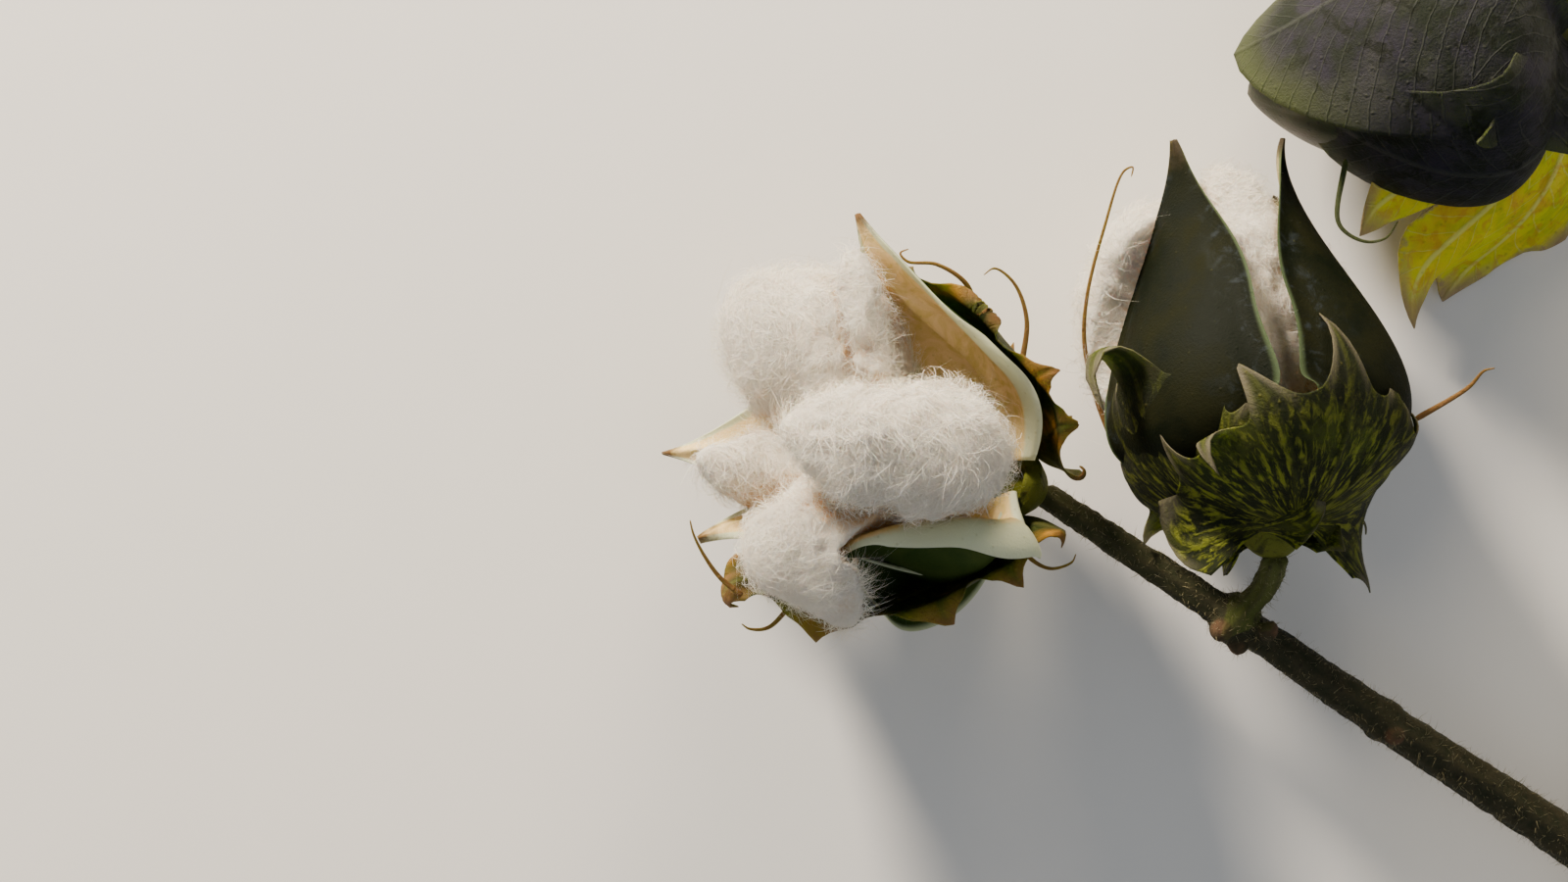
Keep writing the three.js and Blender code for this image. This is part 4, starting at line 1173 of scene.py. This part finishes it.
def stemHairs():
    rng = np.random.default_rng(8)
    spot, normal, _ = surfaceSeeds(stems.data, form["hairs"], rng, [])
    count = len(spot)
    lean = normal + rng.normal(size=(count, 3)) * 0.45
    lean /= np.linalg.norm(lean, axis=1)[:, None]
    length = rng.uniform(0.35, 1.3, count)[:, None, None] * mm
    t = np.linspace(0, 1, 3)[None, :, None]
    droop = rng.normal(size=(count, 1, 3)) * 0.3
    centres = spot[:, None, :] + lean[:, None, :] * length * t + droop * length * t * t
    centres[..., 2] = np.maximum(centres[..., 2], 0.05 * mm)
    side = np.cross(lean, rng.normal(size=(count, 3)))
    side /= np.linalg.norm(side, axis=1)[:, None]
    widths = side[:, None, :] * np.array([0.03, 0.022, 0.005])[None, :, None] * mm
    return ribbons("stem_hairs", centres, widths, hairMaterial)


hairs = stemHairs()


# single long teeth that curl away from the leaves; each starts at the nearest leaf

strandForm = {
    "thick": 0.5, "thin": 0.1, "flat": 0.55, "segments": 12, "rings": 70,
    "paths": {
        "front": (
            ((28, 18.5, 28), (25.9, 22.6, 30), (21.7, 25.2, 31), (17.6, 25.6, 31), (16.6, 26.8, 31), (17.8, 27.4, 31)),
            ((34.3, 10.9, 24), (35.0, 17.5, 25), (33.2, 22.6, 26), (30.3, 24.8, 27), (28.6, 23.8, 28)),
            ((36.4, 4.2, 20), (37.4, 8.4, 21), (36.4, 10.7, 22), (35.2, 9.9, 23)),
            ((33.6, -12.6, 14), (36.1, -17.1, 13), (39.2, -18.8, 13), (42.3, -17.9, 14), (42.9, -16.6, 15)),
            ((-5.6, -22.4, 28), (-9.1, -19.6, 29), (-11.5, -16.2, 30), (-12.9, -13.3, 31), (-13.4, -11.2, 32)),
            ((2.0, -26.0, 18), (-2.2, -27.2, 18), (-5.0, -27.4, 19), (-6.2, -26.6, 20)),
        ),
        "back": (
            ((49.0, -1.4, 22), (45.5, 5.6, 22), (43.5, 14, 23), (43.8, 21, 24), (46.2, 30.8, 25), (48.9, 38.8, 26),
             (50.2, 39.4, 26), (50.0, 38.0, 26)),
            ((94.0, 3.0, 28), (98.0, 7.7, 29), (100.0, 10.0, 30), (101.4, 10.4, 31)),
        ),
        "green": (
            ((78.0, 35.5, 22), (80.5, 31.5, 22), (84.0, 29.0, 22), (87.2, 29.4, 22), (89.3, 32.0, 21)),
        ),
    },
}


def strandMesh(points):
    form = strandForm
    line = smoothLine(points)
    over, side = sweepFrames(line)
    knots = np.linspace(0, 1, len(line))

    def shape(angle, along):
        ends = np.sqrt(np.clip(1 - np.abs(2 * along - 1) ** 30, 0, 1))
        radius = mix(form["thick"], form["thin"], along ** 0.7) * ends
        wide = readLine(along, knots, side) * np.sin(angle)[:, None]
        high = readLine(along, knots, over) * np.cos(angle)[:, None] * form["flat"]
        return toPart(readLine(along, knots, line) + (wide + high) * radius[:, None])

    return ballMesh(form["segments"], form["rings"], shape)


strands = []
for name in bollNames:
    for index, path in enumerate(strandForm["paths"][name]):
        start = toPart(np.asarray(path[0], float))
        found = [tree.find_nearest(start) for tree in bractTrees[name]]
        nearest = min(found, key=lambda hit: hit[3])[0]
        root = np.array(nearest) / mm - branchShift
        bm = strandMesh((root,) + path[1:])
        count = len(bm.verts)
        vertLayers(bm, ray=[9] * count, aside=[9] * count, along=[1] * count, tip=[1] * count, fan=[0] * count)
        look = "green" if name == "green" else "front"
        strands.append(finishMesh("strand_%s_%d" % (name, index + 1), bm, bractMaterials[look]))
        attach(strands[-1], "root")
print("strands made")


# what stands for what

stemNodes = ("stem_lower", "stem_middle", "stem_upper", "branch_lower", "pedicel_front", "pedicel_back")
for node, piece in pieces.items():
    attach(piece, "root")
    if not node.endswith("_fibres"):
        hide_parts(node)
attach(stems, "root")
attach(hairs, "root")
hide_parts(*stemNodes)
print("frame nodes replaced")


# floor, light and camera

studio = {
    "floor": (0.88, 0.865, 0.84, 1), "world": (0.84, 0.87, 0.90, 1), "worldStrength": 0.29,
    "look": (-65.98, 9.06), "distance": 529, "focus": 30, "lens": 85,
}
bpy.ops.mesh.primitive_plane_add(size=4, location=(0, 0, -0.0002))
floor = bpy.context.object
floor.name = "floor"
floorMaterial, tree, principled, place = newMaterial("Pale floor", {"Roughness": 0.85, "Specular IOR Level": 0.2})
grain = noiseNode(tree, place, 60.0, 3.0)
shade = mixColour(tree, grain, studio["floor"], (0.85, 0.835, 0.81, 1))
tree.links.new(shade, principled.inputs["Base Color"])
floor.data.materials.append(floorMaterial)

world = bpy.data.worlds.new("Studio")
bpy.context.scene.world = world
world.use_nodes = True
world.node_tree.nodes["Background"].inputs["Color"].default_value = studio["world"]
world.node_tree.nodes["Background"].inputs["Strength"].default_value = studio["worldStrength"]


def softLight(name, spot, aim, size, power, colour):
    data = bpy.data.lights.new(name, "AREA")
    data.shape = "DISK"
    data.size = size
    data.energy = power
    data.color = colour
    light = bpy.data.objects.new(name, data)
    light.location = spot
    light.rotation_euler = (Vector(aim) - Vector(spot)).to_track_quat("-Z", "Y").to_euler()
    bpy.context.scene.collection.objects.link(light)


softLight("key", (-0.48, 0.70, 0.34), (0, 0, 0.02), 0.20, 23.0, (1.0, 0.87, 0.70))
softLight("fill", (0.35, -0.45, 0.75), (0, 0, 0.02), 0.80, 1.4, (0.90, 0.94, 1.0))
softLight("rim", (0.10, 0.85, 0.30), (0, 0, 0.03), 0.35, 8.0, (1.0, 0.84, 0.60))

camera = bpy.data.objects.new("camera", bpy.data.cameras.new("camera"))
camera.data.lens = studio["lens"]
camera.data.sensor_width = 36
camera.location = (studio["look"][0] * mm, studio["look"][1] * mm, (studio["distance"] + studio["focus"]) * mm)
bpy.context.scene.collection.objects.link(camera)
bpy.context.scene.camera = camera
print("studio made")
